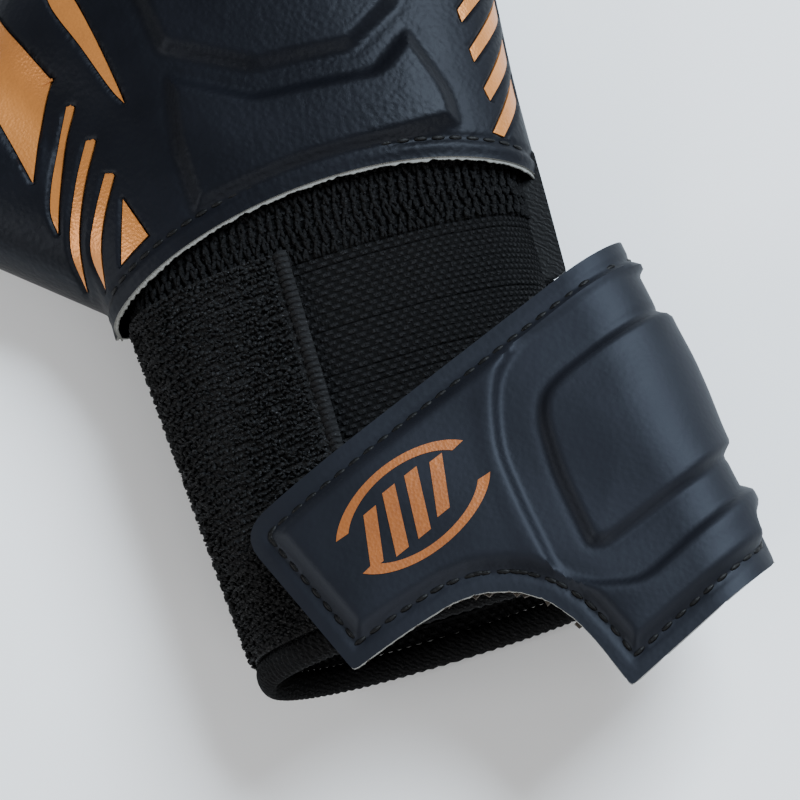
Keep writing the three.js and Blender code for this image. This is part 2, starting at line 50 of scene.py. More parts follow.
import bpy
import numpy as np
from bpy.props import FloatProperty, FloatVectorProperty, PointerProperty
from mathutils import Matrix, Vector
from mathutils.bvhtree import BVHTree

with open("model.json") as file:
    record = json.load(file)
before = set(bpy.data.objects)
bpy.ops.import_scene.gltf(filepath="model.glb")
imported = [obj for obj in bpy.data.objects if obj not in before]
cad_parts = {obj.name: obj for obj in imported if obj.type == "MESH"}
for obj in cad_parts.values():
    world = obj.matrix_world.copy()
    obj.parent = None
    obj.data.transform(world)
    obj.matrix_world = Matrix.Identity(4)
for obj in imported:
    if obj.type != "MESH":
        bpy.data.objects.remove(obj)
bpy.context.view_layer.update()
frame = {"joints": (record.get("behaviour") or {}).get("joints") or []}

MM = 0.001  # the shapes below are worked out in millimetres


# ---- places taken from the frame ---------------------------------------------------------------


def node_box(node):
    """Lowest and highest corner of a CAD node, in millimetres."""
    low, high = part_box(node)
    return np.array(low) / MM, np.array(high) / MM


def joint_named(name):
    return next(joint for joint in frame["joints"] if joint["name"] == name)


def joint_place(name):
    return np.array(joint_named(name)["pos_m"]) / MM


def joint_axis(name):
    return np.array(joint_named(name)["axis"])


BACK_LOW, BACK_HIGH = node_box("backhand_shell")
CUFF_LOW, CUFF_HIGH = node_box("knit_cuff")
HEM_LOW, HEM_HIGH = node_box("cuff_hem")
LOOP_LOW, LOOP_HIGH = node_box("loop_band")
FLANGE_LOW, FLANGE_HIGH = node_box("side_seam_flange")
SEAM_Z = node_box("palm_latex")[1][2]

HEM_Y, KNUCKLE_Y = BACK_LOW[1], BACK_HIGH[1]
CUFF_START, CUFF_END = CUFF_HIGH[1], CUFF_LOW[1]
CUFF_HALF = (CUFF_HIGH[0] - CUFF_LOW[0]) / 2
CUFF_MIDDLE = (CUFF_HIGH[2] + CUFF_LOW[2]) / 2
CUFF_HALF_HEIGHT = (CUFF_HIGH[2] - CUFF_LOW[2]) / 2
WRIST_SHIFT = (CUFF_HIGH[0] + CUFF_LOW[0]) / 2
CUFF_DEPTH = 4.5  # the cuff's surface below the hand's
CUFF_TAPER = 0.88
WRIST_HALF = CUFF_HALF + CUFF_DEPTH
HAND_TOP = BACK_HIGH[2]
WRIST_TOP = CUFF_HIGH[2] + CUFF_DEPTH
KNUCKLE_TOP = 32.5
SINK = 1.2  # how far the round underside would pass below the flat it rests on
ROUNDNESS = 2.3

FINGER_HEIGHT = node_box("middle_base_back")[1][2]
THUMB_HEIGHT = node_box("thumb_base_back")[1][2]
FINGERS = ("index", "middle", "ring", "little")
FINGER_WIDTH = {"index": 26.0, "middle": 26.4, "ring": 26.0, "little": 24.0, "thumb": 41.0}
FINGER_LENGTH = {"index": 84.0, "middle": 92.0, "ring": 86.0, "little": 70.0, "thumb": 72.0}
FINGER_TAPER = {"index": 0.82, "middle": 0.82, "ring": 0.82, "little": 0.82, "thumb": 0.72}
KNUCKLE_HALF = 52.7

BAND_OUTER = 2.5  # the loop band's face over the cuff's
TAPE_WIDTH = 2.4

FOLD_MIDDLE = 38.0  # from the strap's upper corner to the middle of the fold
FOLD_SLANT = math.radians(15.6)
FOLD_REACH, FOLD_HEIGHT = 16.0, 12.6

STITCH_GAP, STITCH_WIDTH = 0.8, 1.15


# ---- curves and fields -------------------------------------------------------------------------


def power(share):
    return np.sign(share) * np.abs(share) ** (2 / ROUNDNESS)


def smooth(value, low, high):
    share = np.clip((np.asarray(value, float) - low) / (high - low), 0, 1)
    return share * share * (3 - 2 * share)


def bump_at(value, middle, width):
    return np.exp(-(((np.asarray(value, float) - middle) / width) ** 2))


def spline(control, steps=8, closed=False):
    """Points of a Catmull-Rom curve through the control points."""
    control = np.array(control, float)
    if closed:
        control = np.vstack([control[-1], control, control[:2]])
    else:
        control = np.vstack([2 * control[0] - control[1], control, 2 * control[-1] - control[-2]])
    share = np.linspace(0, 1, steps, endpoint=False)[:, None]
    pieces = []
    for a, b, c, d in zip(control, control[1:], control[2:], control[3:]):
        pieces.append(0.5 * (2 * b + (c - a) * share + (2 * a - 5 * b + 4 * c - d) * share**2
                             + (3 * b - a - 3 * c + d) * share**3))
    if not closed:
        pieces.append(control[-2][None])
    return np.vstack(pieces)


def rounded(corners, steps=8):
    """An outline from corners (x, y, radius), each with an arc in its place."""
    out = []
    for i, (x, y, radius) in enumerate(corners):
        here = np.array((x, y), float)
        if radius <= 0:
            out.append(here)
            continue
        before = np.array(corners[i - 1][:2]) - here
        after = np.array(corners[(i + 1) % len(corners)][:2]) - here
        start = here + before / np.linalg.norm(before) * radius
        end = here + after / np.linalg.norm(after) * radius
        for share in np.linspace(0, 1, steps):
            out.append((1 - share) ** 2 * start + 2 * share * (1 - share) * here + share**2 * end)
    return np.array(out)


def edge_distance(x, y, outline):
    """Distance of each point from an outline, negative inside it."""
    points = np.stack([x, y], 1)
    best = np.full(len(points), np.inf)
    inside = np.zeros(len(points), bool)
    for a, b in zip(outline, np.roll(outline, -1, axis=0)):
        step = b - a
        length = max(step @ step, 1e-12)
        share = np.clip(((points - a) @ step) / length, 0, 1)
        best = np.minimum(best, np.linalg.norm(points - a - share[:, None] * step, axis=1))
        crosses = (a[1] > points[:, 1]) != (b[1] > points[:, 1])
        height = np.where(step[1] == 0, 1e-12, step[1])
        inside ^= crosses & (points[:, 0] < a[0] + (points[:, 1] - a[1]) / height * step[0])
    return np.where(inside, -best, best)


# ---- mesh work ---------------------------------------------------------------------------------


def unit(vectors, least=1e-9):
    return vectors / np.maximum(np.linalg.norm(vectors, axis=1), least)[:, None]


def deselect_all():
    if bpy.context.mode != "OBJECT":
        bpy.ops.object.mode_set(mode="OBJECT")
    bpy.ops.object.select_all(action="DESELECT")


def only(obj):
    deselect_all()
    obj.select_set(True)
    bpy.context.view_layer.objects.active = obj


def read(items, key):
    flat = np.zeros(len(items) * 3)
    items.foreach_get(key, flat)
    return flat.reshape(-1, 3)


def coordinates(obj):
    return read(obj.data.vertices, "co")


def move_vertices(obj, points):
    obj.data.vertices.foreach_set("co", np.ascontiguousarray(points, float).ravel())
    obj.data.update()


def scale_uv(obj, width, length):
    """Makes the piece's UV map read in metres along and across the cloth."""
    layer = obj.data.uv_layers.active.data
    flat = np.zeros(len(layer) * 2)
    layer.foreach_get("uv", flat)
    layer.foreach_set("uv", (flat.reshape(-1, 2) * (width * MM, length * MM)).ravel())


def edit_all(obj, operation, **settings):
    only(obj)
    bpy.ops.object.mode_set(mode="EDIT")
    bpy.ops.mesh.select_all(action="SELECT")
    operation(**settings)
    bpy.ops.object.mode_set(mode="OBJECT")


def merge_close(obj, distance=0.02):
    edit_all(obj, bpy.ops.mesh.remove_doubles, threshold=distance * MM)


def face_outwards(obj):
    edit_all(obj, bpy.ops.mesh.normals_make_consistent, inside=False)


def panel(name, across, along, place, size=(100, 100)):
    """A grid of cells laid on a surface: place(u, v) gives points in millimetres."""
    deselect_all()
    bpy.ops.mesh.primitive_grid_add(x_subdivisions=across, y_subdivisions=along, size=1,
                                    location=(0, 0, 0))
    obj = bpy.context.active_object
    obj.name = obj.data.name = name
    flat = coordinates(obj)
    move_vertices(obj, np.stack(place(flat[:, 0] + 0.5, flat[:, 1] + 0.5), 1) * MM)
    scale_uv(obj, *size)
    return obj


def keep_edge(obj, shows):
    """Leaves the cut edge's material only on the edge faces for which shows(points) is true."""
    slots = np.zeros(len(obj.data.polygons), int)
    obj.data.polygons.foreach_get("material_index", slots)
    slots[(slots == 1) & ~shows(read(obj.data.polygons, "center") / MM)] = 0
    obj.data.polygons.foreach_set("material_index", slots)


def cut_panel(name, outline, pitch):
    """A flat sheet cut to an outline, in millimetres, with even cells."""
    low, high = outline.min(0) - pitch, outline.max(0) + pitch
    cells = np.maximum(((high - low) / pitch).astype(int), 2)
    obj = panel(name, int(cells[0]), int(cells[1]),
                lambda u, v: (low[0] + u * (high[0] - low[0]), low[1] + v * (high[1] - low[1]), 0 * u),
                size=high - low)
    flat = coordinates(obj)[:, :2] / MM
    faces = np.array([list(p.vertices) for p in obj.data.polygons])
    middle = flat[faces].mean(1)
    outside = edge_distance(middle[:, 0], middle[:, 1], outline) > 0
    obj.data.polygons.foreach_set("select", outside)
    bpy.ops.object.mode_set(mode="EDIT")
    bpy.ops.mesh.select_mode(type="FACE")
    bpy.ops.object.mode_set(mode="OBJECT")
    obj.data.polygons.foreach_set("select", outside)
    bpy.ops.object.mode_set(mode="EDIT")
    bpy.ops.mesh.delete(type="FACE")
    bpy.ops.mesh.select_mode(type="VERT")
    bpy.ops.mesh.select_all(action="DESELECT")
    bpy.ops.mesh.select_non_manifold()
    bpy.ops.object.mode_set(mode="OBJECT")
    points = coordinates(obj)
    rim = np.zeros(len(points), bool)
    obj.data.vertices.foreach_get("select", rim)
    points[rim, :2] = nearest_on(points[rim, :2] / MM, outline) * MM
    move_vertices(obj, points)
    settle(obj, rim, 6)
    return obj


def nearest_on(points, outline):
    best = np.full(len(points), np.inf)
    found = points.copy()
    for a, b in zip(outline, np.roll(outline, -1, axis=0)):
        step = b - a
        share = np.clip(((points - a) @ step) / max(step @ step, 1e-12), 0, 1)
        at = a + share[:, None] * step
        far = np.linalg.norm(points - at, axis=1)
        closer = far < best
        best[closer] = far[closer]
        found[closer] = at[closer]
    for corner in outline:
        far = np.linalg.norm(found - corner, axis=1)
        if far.min() < 0.45:
            found[far.argmin()] = corner
    return found


def settle(obj, fixed, rounds):
    """Evens out the cells next to a rim that was moved onto its outline."""
    points = coordinates(obj)
    edges = np.array([list(e.vertices) for e in obj.data.edges])
    count = np.bincount(edges.ravel(), minlength=len(points))[:, None]
    for _ in range(rounds):
        total = np.zeros_like(points)
        np.add.at(total, edges[:, 0], points[edges[:, 1]])
        np.add.at(total, edges[:, 1], points[edges[:, 0]])
        points = np.where(fixed[:, None], points, 0.5 * points + 0.5 * total / count)
    move_vertices(obj, points)


def apply(obj, kind, **settings):
    modifier = obj.modifiers.new(kind.title(), kind)
    for key, value in settings.items():
        setattr(modifier, key, value)
    only(obj)
    bpy.ops.object.modifier_apply(modifier=modifier.name)


def thicken(obj, thickness, rim=0, even=True):
    """Gives a sheet its thickness, on its inner side, with its cut edge in material slot rim."""
    apply(obj, "SOLIDIFY", thickness=thickness * MM, offset=-1, use_rim=True,
          material_offset_rim=rim, use_even_offset=even, thickness_clamp=0.8)


def shade(obj, degrees=50):
    only(obj)
    bpy.ops.object.shade_smooth_by_angle(angle=math.radians(degrees))


def dress(obj, *materials):
    for material in materials:
        obj.data.materials.append(material)


def finish_piece(obj, body, slot, *nodes):
    """Rides a piece on a body, or leaves it in place with its transform baked in when given two, and hides the
    nodes it stands for; slot is not used.
    """
    if isinstance(body, str):
        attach(obj, body)
    else:
        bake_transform(obj)
    if nodes:
        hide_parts(*nodes)
    return obj


def copies_mesh(name, shape, places, along, up):
    """One mesh of many copies of a small shape: x of the shape goes along, z goes up."""
    verts = coordinates(shape)
    faces = [tuple(p.vertices) for p in shape.data.polygons]
    side = unit(np.cross(up, along))
    up = np.cross(along, side)
    axes = np.stack([along, side, up], 1)
    points = np.einsum("vi,nij->nvj", verts, axes) + places[:, None]
    mesh = bpy.data.meshes.new(name)
    all_faces = [tuple(i + n * len(verts) for i in face) for n in range(len(places)) for face in faces]
    mesh.from_pydata(points.reshape(-1, 3) * MM, [], all_faces)
    obj = bpy.data.objects.new(name, mesh)
    bpy.context.collection.objects.link(obj)
    mesh.shade_smooth()
    return obj


def small_ball(length, width, height, rings=5, segments=6):
    """A long rounded bead, in millimetres."""
    deselect_all()
    bpy.ops.mesh.primitive_uv_sphere_add(segments=segments, ring_count=rings, radius=1)
    obj = bpy.context.active_object
    bpy.ops.transform.rotate(value=math.pi / 2, orient_axis="Y", center_override=(0, 0, 0))
    bpy.ops.object.transform_apply(location=False, rotation=True, scale=False)
    points = coordinates(obj) * (length / 2, width / 2, height / 2)
    move_vertices(obj, points)
    return obj


def stitch_row(name, line, up, pitch=3.6, length=2.9, width=0.9):
    """Sewing stitches along a line of points, each bead lying on its surface."""
    steps = np.linalg.norm(np.diff(line, axis=0), axis=1)
    run = np.concatenate([[0], np.cumsum(steps)])
    count = max(int(run[-1] / pitch), 2)
    at = np.linspace(pitch / 2, run[-1] - pitch / 2, count)

    def sample(field, where):
        return np.stack([np.interp(where, run, field[:, k]) for k in range(3)], 1)

    along = unit(sample(line, np.minimum(at + 0.5, run[-1])) - sample(line, np.maximum(at - 0.5, 0)))
    bead = small_ball(length, width, width * 0.7)
    row = copies_mesh(name, bead, sample(line, at), along, sample(up, at))
    bpy.data.objects.remove(bead)
    return row


def joined(name, pieces):
    """One object out of several."""
    deselect_all()
    for piece in pieces:
        piece.select_set(True)
    bpy.context.view_layer.objects.active = pieces[0]
    bpy.ops.object.join()
    pieces[0].name = pieces[0].data.name = name
    return pieces[0]


# ---- the hand's surface ------------------------------------------------------------------------


def eased(stations, values):
    """A curve through values at stations, without corners."""
    fine = np.linspace(stations[0], stations[-1], 600)
    line = np.interp(fine, stations, values)
    window = np.hanning(91)
    padded = np.pad(line, 45, mode="edge")
    line = np.convolve(padded, window / window.sum(), mode="valid")
    return lambda y: np.interp(y, fine, line)


STATIONS = [HEM_Y - 40, HEM_Y, HEM_Y + 20, 0, KNUCKLE_Y / 2, KNUCKLE_Y, KNUCKLE_Y + 30]
hand_half = eased(STATIONS, [WRIST_HALF, WRIST_HALF, WRIST_HALF + 1, (WRIST_HALF + KNUCKLE_HALF) / 2,
                             KNUCKLE_HALF - 0.5, KNUCKLE_HALF, KNUCKLE_HALF])
hand_top = eased(STATIONS, [WRIST_TOP, WRIST_TOP, HAND_TOP, HAND_TOP, 38, KNUCKLE_TOP, KNUCKLE_TOP])
hand_shift = eased(STATIONS, [WRIST_SHIFT, WRIST_SHIFT, WRIST_SHIFT, 0, 0, 0, 0])

THUMB_AT = joint_place("thumb_knuckle")[:2]
THUMB_TOWARDS = np.array((joint_axis("thumb_knuckle")[1], -joint_axis("thumb_knuckle")[0]))
THUMB_ACROSS = np.array((-THUMB_TOWARDS[1], THUMB_TOWARDS[0]))
THUMB_MIDDLE_Z = (THUMB_HEIGHT - SINK) / 2
THUMB_HALF_HEIGHT = (THUMB_HEIGHT + SINK) / 2


def hem_line(x):
    """The backhand's lower edge: an arc that drops towards both sides."""
    return HEM_Y + 1.9 - 0.0036 * (x - 6) ** 2


def finger_lobes(x, y, z):
    """Near the knuckles the back of the hand parts into one round lobe for each finger."""
    share = smooth(y, KNUCKLE_Y - 30, KNUCKLE_Y)
    lobes = np.full(len(x), 0.72)
    for name in FINGERS:
        middle = joint_place(f"{name}_knuckle")[0]
        offset = np.abs(x - middle) / (FINGER_WIDTH[name] / 2)
        lobe = np.clip(1 - offset**ROUNDNESS, 0, 1) ** (1 / ROUNDNESS)
        lobes = np.maximum(lobes, 0.72 + 0.28 * lobe)
    upper = np.maximum(z - FINGER_HEIGHT * 0.45, 0)
    return z - share * upper * (1 - lobes)


WEB_REACH, WEB_Y = 10.0, 14.0  # the web of skin between the thumb and the first finger


def shoulder(share):
    return np.clip(1 - np.abs(share) ** ROUNDNESS, 0, 1) ** (1 / ROUNDNESS)


def section_line(y, side):
    """The hand's cross-section from the thumb-side seam, over the back (side 1) or under the palm
    (side -1), to the little-finger side: x and z at even steps."""
    x0, half = float(hand_shift(y)), float(hand_half(y))
    left = half + WEB_REACH * float(bump_at(y, WEB_Y, 17.0))
    scan = np.linspace(-115, 60, 1751)

    def mound(x):
        ahead = (x - THUMB_AT[0]) * THUMB_TOWARDS[0] + (y - THUMB_AT[1]) * THUMB_TOWARDS[1]
        beside = (x - THUMB_AT[0]) * THUMB_ACROSS[0] + (y - THUMB_AT[1]) * THUMB_ACROSS[1]
        share = beside / (FINGER_WIDTH["thumb"] / 2)
        return (np.abs(share) < 1) & (ahead < 0.5), THUMB_MIDDLE_Z + side * THUMB_HALF_HEIGHT * shoulder(share)

    there = mound(scan)[0]
    start = min(x0 - left, scan[there].min() if there.any() else x0 - left)
    x = start + (x0 + half - start) * (1 - np.cos(np.linspace(0, math.pi, 500))) / 2
    middle, half_height = (hand_top(y) - SINK) / 2, (hand_top(y) + SINK) / 2
    palm = middle + side * half_height * shoulder(np.where(x < x0, (x - x0) / left, (x - x0) / half))
    palm = np.where(x < x0 - left, -side * 99, palm)
    inside, thumb = mound(x)
    thumb = np.where(inside, thumb, -side * 99)
    gap = np.clip(1 - np.abs(palm - thumb) / 9.0, 0, 1)
    z = np.maximum(side * palm, side * thumb) + 9.0 / 4 * gap**2
    z = side * z
    z = np.maximum(z, SEAM_Z) if side > 0 else np.clip(z, 0.02, SEAM_Z)
    line = np.stack([np.concatenate([[x[0]], x, [x[-1]]]), np.concatenate([[SEAM_Z], z, [SEAM_Z]])], 1)
    run = np.concatenate([[0], np.cumsum(np.linalg.norm(np.diff(line, axis=0), axis=1))])
    even = np.linspace(0, run[-1], 361)
    return np.stack([np.interp(even, run, line[:, 0]), np.interp(even, run, line[:, 1])], 1)


TABLE_Y = np.arange(HEM_Y - 16, KNUCKLE_Y + 3, 1.0)


def section_table(side):
    """Cross-sections at every millimetre along the hand, eased so that they run on smoothly."""
    table = np.array([section_line(y, side) for y in TABLE_Y])
    for _ in range(3):
        padded = np.concatenate([table[:1], table, table[-1:]])
        table = 0.25 * padded[:-2] + 0.5 * padded[1:-1] + 0.25 * padded[2:]
    return table


BACK_TABLE, PALM_TABLE = section_table(1), section_table(-1)


def hand_at(table, share, y):
    """The place at a share of the way round a half section, at y."""
    row = np.clip(y - TABLE_Y[0], 0, len(TABLE_Y) - 1.001)
    column = np.clip(share, 0, 1) * 359.999
    i, k = row.astype(int), column.astype(int)
    fi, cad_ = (row - i)[:, None], (column - k)[:, None]
    at = ((table[i, k] * (1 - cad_) + table[i, k + 1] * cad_) * (1 - fi)
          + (table[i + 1, k] * (1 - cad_) + table[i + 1, k + 1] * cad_) * fi)
    x, z = at[:, 0], at[:, 1]
    return x, y, finger_lobes(x, y, z) if table is BACK_TABLE else z


def from_hem(table, u, v):
    """A place on the hand at u across and v of the way from the curved hem to the knuckles."""
    y = HEM_Y + (KNUCKLE_Y + 0.5 - HEM_Y) * v
    for _ in range(4):
        hem = hem_line(hand_at(table, u, y)[0])
        y = hem + (KNUCKLE_Y + 0.5 - hem) * v
    return hand_at(table, u, y)


LEAVES = (  # copper windows on the thumb side: right edge and left edge, from tip to tail
    ([(-56, 24), (-54.4, 17), (-50.9, 8.1), (-47.3, -0.5), (-47.3, -0.5), (-51.2, -7.2), (-56.9, -21.7)],
     [(-56, 24), (-58, 15), (-58.5, 7), (-60.6, 1), (-60.4, -5), (-58.7, -13), (-56.9, -21.7)]),
    ([(-41.5, 30), (-37.6, 15), (-35.5, 4.0), (-34.0, -6.4), (-33.2, -13.1)],
     [(-41.5, 30), (-43.2, 17.4), (-38.9, 3.2), (-35.3, -8.4), (-33.2, -13.1)]),
    ([(-44.0, -8.7), (-48.2, -16.0), (-52.4, -26.8), (-54.9, -33.8)],
     [(-44.9, -6.4), (-50.0, -16.4), (-54.8, -28.0), (-54.9, -33.8)]),
    ([(-41.5, -18.2), (-46.6, -26.8), (-50.9, -36.4), (-53.0, -45.2)],
     [(-42.7, -16.0), (-48.6, -26.2), (-53.2, -37.4), (-53.0, -45.2)]),
    ([(-39.6, -27.5), (-44.0, -34.6), (-47.0, -40.9), (-48.8, -48.2)],
     [(-40.7, -25.2), (-46.1, -33.8), (-49.4, -40.4), (-48.8, -48.2)]),
)
TRIANGLE = [(-39.2, -33.4), (-36.2, -43.2), (-43.6, -46.2)]
BARS = (  # slanted copper bars on the little-finger side: upper edge and lower edge
    ([(41.2, -3.5), (48.2, 5)], [(41.3, -6.4), (48.0, 0.8)]),
    ([(40.9, -13), (47.9, -4.5)], [(41.0, -15.9), (47.8, -8.4)]),
    ([(40.8, -22.4), (47.6, -13.5)], [(40.9, -25.4), (47.3, -17.4)]),
    ([(41.2, -31.7), (46.8, -23.1)], [(41.7, -34.5), (46.3, -28.0)]),
    ([(40.2, -41.9), (45.7, -33.2)], [(42.2, -42.9), (45.0, -38.7)]),
)
BAR_WRAP = 9.0  # how much further the bars run, round onto the side
HEXAGON = rounded([(-27, 24, 6), (-24.3, 8.6, 4), (-22.6, -5.4, 1.5), (-4.5, -16.8, 2), (16.4, -18.2, 2),
                   (29.4, -9.3, 3), (32, 8, 5), (24, 24, 8), (2, 30, 8), (-16, 29, 6)])
CHEVRON = rounded([(-22.7, -11.5, 1), (-5.9, -22.1, 2), (19.8, -24.0, 2.5), (28.8, -16.5, 1),
                   (33.7, -31.7, 3), (33.5, -39.6, 1.5), (20.4, -40.4, 4), (-1.1, -40.3, 4),
                   (-24.8, -42.6, 1), (-25.1, -26.9, 3)])

SHOULDER_X = 36.0
BACK_RUN = np.array([np.linalg.norm(np.diff(line, axis=0), axis=1).sum() for line in BACK_TABLE])
SHOULDER_SHARE = np.array([np.interp(SHOULDER_X, line[:, 0], np.linspace(0, 1, 361)) for line in BACK_TABLE])


def girth(share, y):
    """Place across the back: x on top, and the length of skin beyond the little side's shoulder."""
    shoulder_share = np.interp(y, TABLE_Y, SHOULDER_SHARE)
    run = np.interp(y, TABLE_Y, BACK_RUN)
    return np.where(share > shoulder_share, SHOULDER_X + (share - shoulder_share) * run,
                    hand_at(BACK_TABLE, share, y)[0])


def share_at(across, y):
    """The share of the way round the back at a girth beyond the shoulder."""
    return np.interp(y, TABLE_Y, SHOULDER_SHARE) + (across - SHOULDER_X) / np.interp(y, TABLE_Y, BACK_RUN)


def bar_edges():
    """Both edges of each bar, in girth and y, run on round the side."""
    bars = []
    for edges in BARS:
        flat = []
        for edge in edges:
            points = []
            for x, y in edge:
                line = BACK_TABLE[int(round(y - TABLE_Y[0]))]
                share = np.interp(x, line[:, 0], np.linspace(0, 1, 361))
                points.append((float(girth(np.array([share]), np.array([float(y)]))[0]), y))
            start, end = np.array(points[0]), np.array(points[1])
            further = end + (end - start) / np.linalg.norm(end - start) * BAR_WRAP
            flat.append(np.array([start, end, further]))
        bars.append(flat)
    return bars


def leaf_outline(edges):
    right, left = (spline(edge, 6) for edge in edges)
    return np.vstack([right, left[::-1][1:-1]])


def back_relief(across, x, y):
    """Height of the embossing over the plain back of the hand."""
    height = np.zeros(len(x))
    for outline, rise in ((HEXAGON, 2.4), (CHEVRON, 2.2)):
        inner = -edge_distance(x, y, outline)
        height += rise * smooth(inner, -0.8, 3.0) + 0.5 * smooth(inner, 2, 16)
        height -= 0.15 * bump_at(inner, -1.4, 1.0)
    from_hem_y = y - hem_line(x)
    height -= 0.6 * bump_at(from_hem_y, 4.2, 1.1)
    height -= 0.7 * (1 - smooth(from_hem_y, 0, 3.2))
    for outline in [leaf_outline(edges) for edges in LEAVES] + [np.array(TRIANGLE, float)]:
        height -= 1.1 * smooth(-edge_distance(x, y, outline), -0.75, 0.05)
    for upper, lower in bar_edges():
        outline = np.vstack([upper, lower[::-1]])
        height -= 1.1 * smooth(-edge_distance(across, y, outline), -0.75, 0.05)
    return height


def build_back(relief=True, cells=(230, 170)):
    """The skin of the back of the hand, from the thumb-side seam to the little-finger side."""

    shares = []

    def place(u, v):
        shares.append(u)
        return from_hem(BACK_TABLE, u, v)

    obj = panel("backhand_skin" if relief else "backhand_form", *cells, place, size=(150, 96))
    if not relief:
        return obj
    points = coordinates(obj) / MM
    across = girth(shares[0], points[:, 1])
    rise = back_relief(across, points[:, 0], points[:, 1])
    rise *= smooth(points[:, 2], SEAM_Z, SEAM_Z + 2.5)
    move_vertices(obj, (points + read(obj.data.vertices, "normal") * rise[:, None]) * MM)
    return obj


def build_raw_edge():
    """The frayed edge of the foam's backing that shows under the hem."""
    random = np.random.default_rng(21)
    fray = np.convolve(random.uniform(0.25, 1.5, 420), np.ones(3) / 3, mode="same")

    def place(u, v):
        x, y, z = from_hem(BACK_TABLE, u, np.zeros(len(u)))
        middle = (hand_top(y) - SINK) / 2
        inwards = unit(np.stack([np.clip(x, -30, 30) - x, middle - z], 1))
        reach = 1.15 * v * np.interp(u, np.linspace(0, 1, len(fray)), fray)
        depth = 1.0 + 0.2 * v
        return x + inwards[:, 0] * depth, y + 0.6 - 0.6 * v - reach * 0.55, z + inwards[:, 1] * depth

    obj = panel("hem_raw_edge", 420, 4, place, size=(170, 2))
    face_up(obj)
    thicken(obj, 0.5)
    shade(obj, 60)
    return obj


def build_palm():
    """The palm foam: flat below and rolled up both sides to the seam."""

    def place(u, v):
        return from_hem(PALM_TABLE, 1 - u, v)

    return panel("palm_skin", 200, 120, place, size=(190, 97))


# ---- fingers -----------------------------------------------------------------------------------


def finger_point(name, angle, along, lift=0.0):
    """A finger's surface at an angle round it and a distance along it, over its domed tip."""
    joint = joint_named(f"{name}_knuckle")
    axis = np.array(joint["axis"])
    base = np.array(joint["pos_m"][:2]) / MM
    towards, side = np.array((axis[1], -axis[0])), np.array((-axis[0], -axis[1]))
    height = THUMB_HEIGHT if name == "thumb" else FINGER_HEIGHT
    width, taper = FINGER_WIDTH[name], FINGER_TAPER[name]
    dome = width * taper / 2
    straight = FINGER_LENGTH[name] - dome
    half = width / 2 * (1 - (1 - taper) * np.clip(along / straight, 0, 1))
    turn = np.clip((along - straight) / dome, 0, math.pi / 2 - 0.02)
    reach = np.minimum(along, straight) + (dome + lift) * np.sin(turn)
    across = (half + lift) * np.cos(turn) * power(np.cos(angle))
    up = (height - SINK) / 2 + ((height + SINK) / 2 + lift) * np.cos(turn) * power(np.sin(angle))
    x = base[0] + reach * towards[0] + across * side[0]
    y = base[1] + reach * towards[1] + across * side[1]
    return x, y, np.maximum(up, 0.02)


def finger_arc(name):
    dome = FINGER_WIDTH[name] * FINGER_TAPER[name] / 2
    return FINGER_LENGTH[name] - dome + dome * (math.pi / 2 - 0.02)


def middle_joint_at(name):
    return float(np.linalg.norm(joint_place(f"{name}_middle_joint") - joint_place(f"{name}_knuckle")))


def finger_relief(name, half, angle, along):
    """Puffed foam between flex grooves on the back, a plain face with one crease on the palm."""
    bend = middle_joint_at(name)
    body = 1 - smooth(along, finger_arc(name) - 24, finger_arc(name) - 9)
    relief = -1.1 * bump_at(np.abs(power(np.cos(angle))), 1.0, 0.05)
    if half == "back":
        flat = smooth(np.sin(angle), 0.45, 0.8)
        for groove in (2.0, bend - 7, bend + 1, bend + 9):
            relief = relief - flat * 1.3 * bump_at(along, groove, 1.5)
        relief = relief + flat * 0.8 * smooth(along, 2, 8)
        rib = smooth(np.abs(power(np.cos(angle))), 0.42, 0.5)
        relief = relief - 0.9 * bump_at(np.abs(power(np.cos(angle))), 0.62, 0.05) * (1 - 0.4 * rib)
        relief = relief * body
    else:
        relief = relief - 0.5 * bump_at(along, bend, 1.2) * smooth(-np.sin(angle), -0.1, 0.3)
    return relief - 1.0 * (1 - smooth(along, -3, 1.5))


def build_finger_half(name, half, part):
    """One face of one phalanx: from seam to seam round the finger."""
    bend = middle_joint_at(name)
    start, end = (-3.0, bend - 12) if part == "base" else (bend - 12, finger_arc(name))
    low, high = (math.pi, 0) if half == "back" else (0, -math.pi)
    rows = max(int((end - start) / 0.9), 12)

    def place(u, v):
        angle = low + (high - low) * u
        along = start + (end - start) * v
        relief = finger_relief(name, half, angle, along)
        return finger_point(name, angle, along, relief)

    width = FINGER_WIDTH[name]
    obj = panel(f"{name}_{part}_{half}_skin", 56, rows, place, size=(width * 1.9, end - start))
    thicken(obj, 1.6)
    shade(obj)
    return obj


def finger_seam(name, part):
    """Stitches down both sides of a phalanx, where the back meets the palm foam."""
    bend = middle_joint_at(name)
    start, end = (1.0, bend - 12) if part == "base" else (bend - 12, finger_arc(name) - 3)
    rows = []
    for angle in (math.radians(6), math.pi - math.radians(6)):
        along = np.linspace(start, end, 60)
        turn = np.full(60, angle)
        line = np.stack(finger_point(name, turn, along, -0.7), 1)
        raised = np.stack(finger_point(name, turn, along, 1.0), 1)
        rows.append(stitch_row("row", line, unit(raised - line), pitch=3.2, length=2.4, width=0.8))
    return joined(f"{name}_{part}_stitches", rows)


def finger_bend(name, part):
    """The two bodies a phalanx's skin joins, and where the bend between them starts and ends."""
    knuckle = joint_place(f"{name}_knuckle")
    bend = joint_place(f"{name}_middle_joint")
    towards = (bend - knuckle) / np.linalg.norm(bend - knuckle)
    if part == "base":
        reach = np.linalg.norm(bend - knuckle) - 12.5
        return "hand", f"{name}_base", knuckle, knuckle + towards * min(reach, 22)
    return f"{name}_base", f"{name}_tip", bend - towards * 11, bend + towards * 11


# ---- cuff --------------------------------------------------------------------------------------


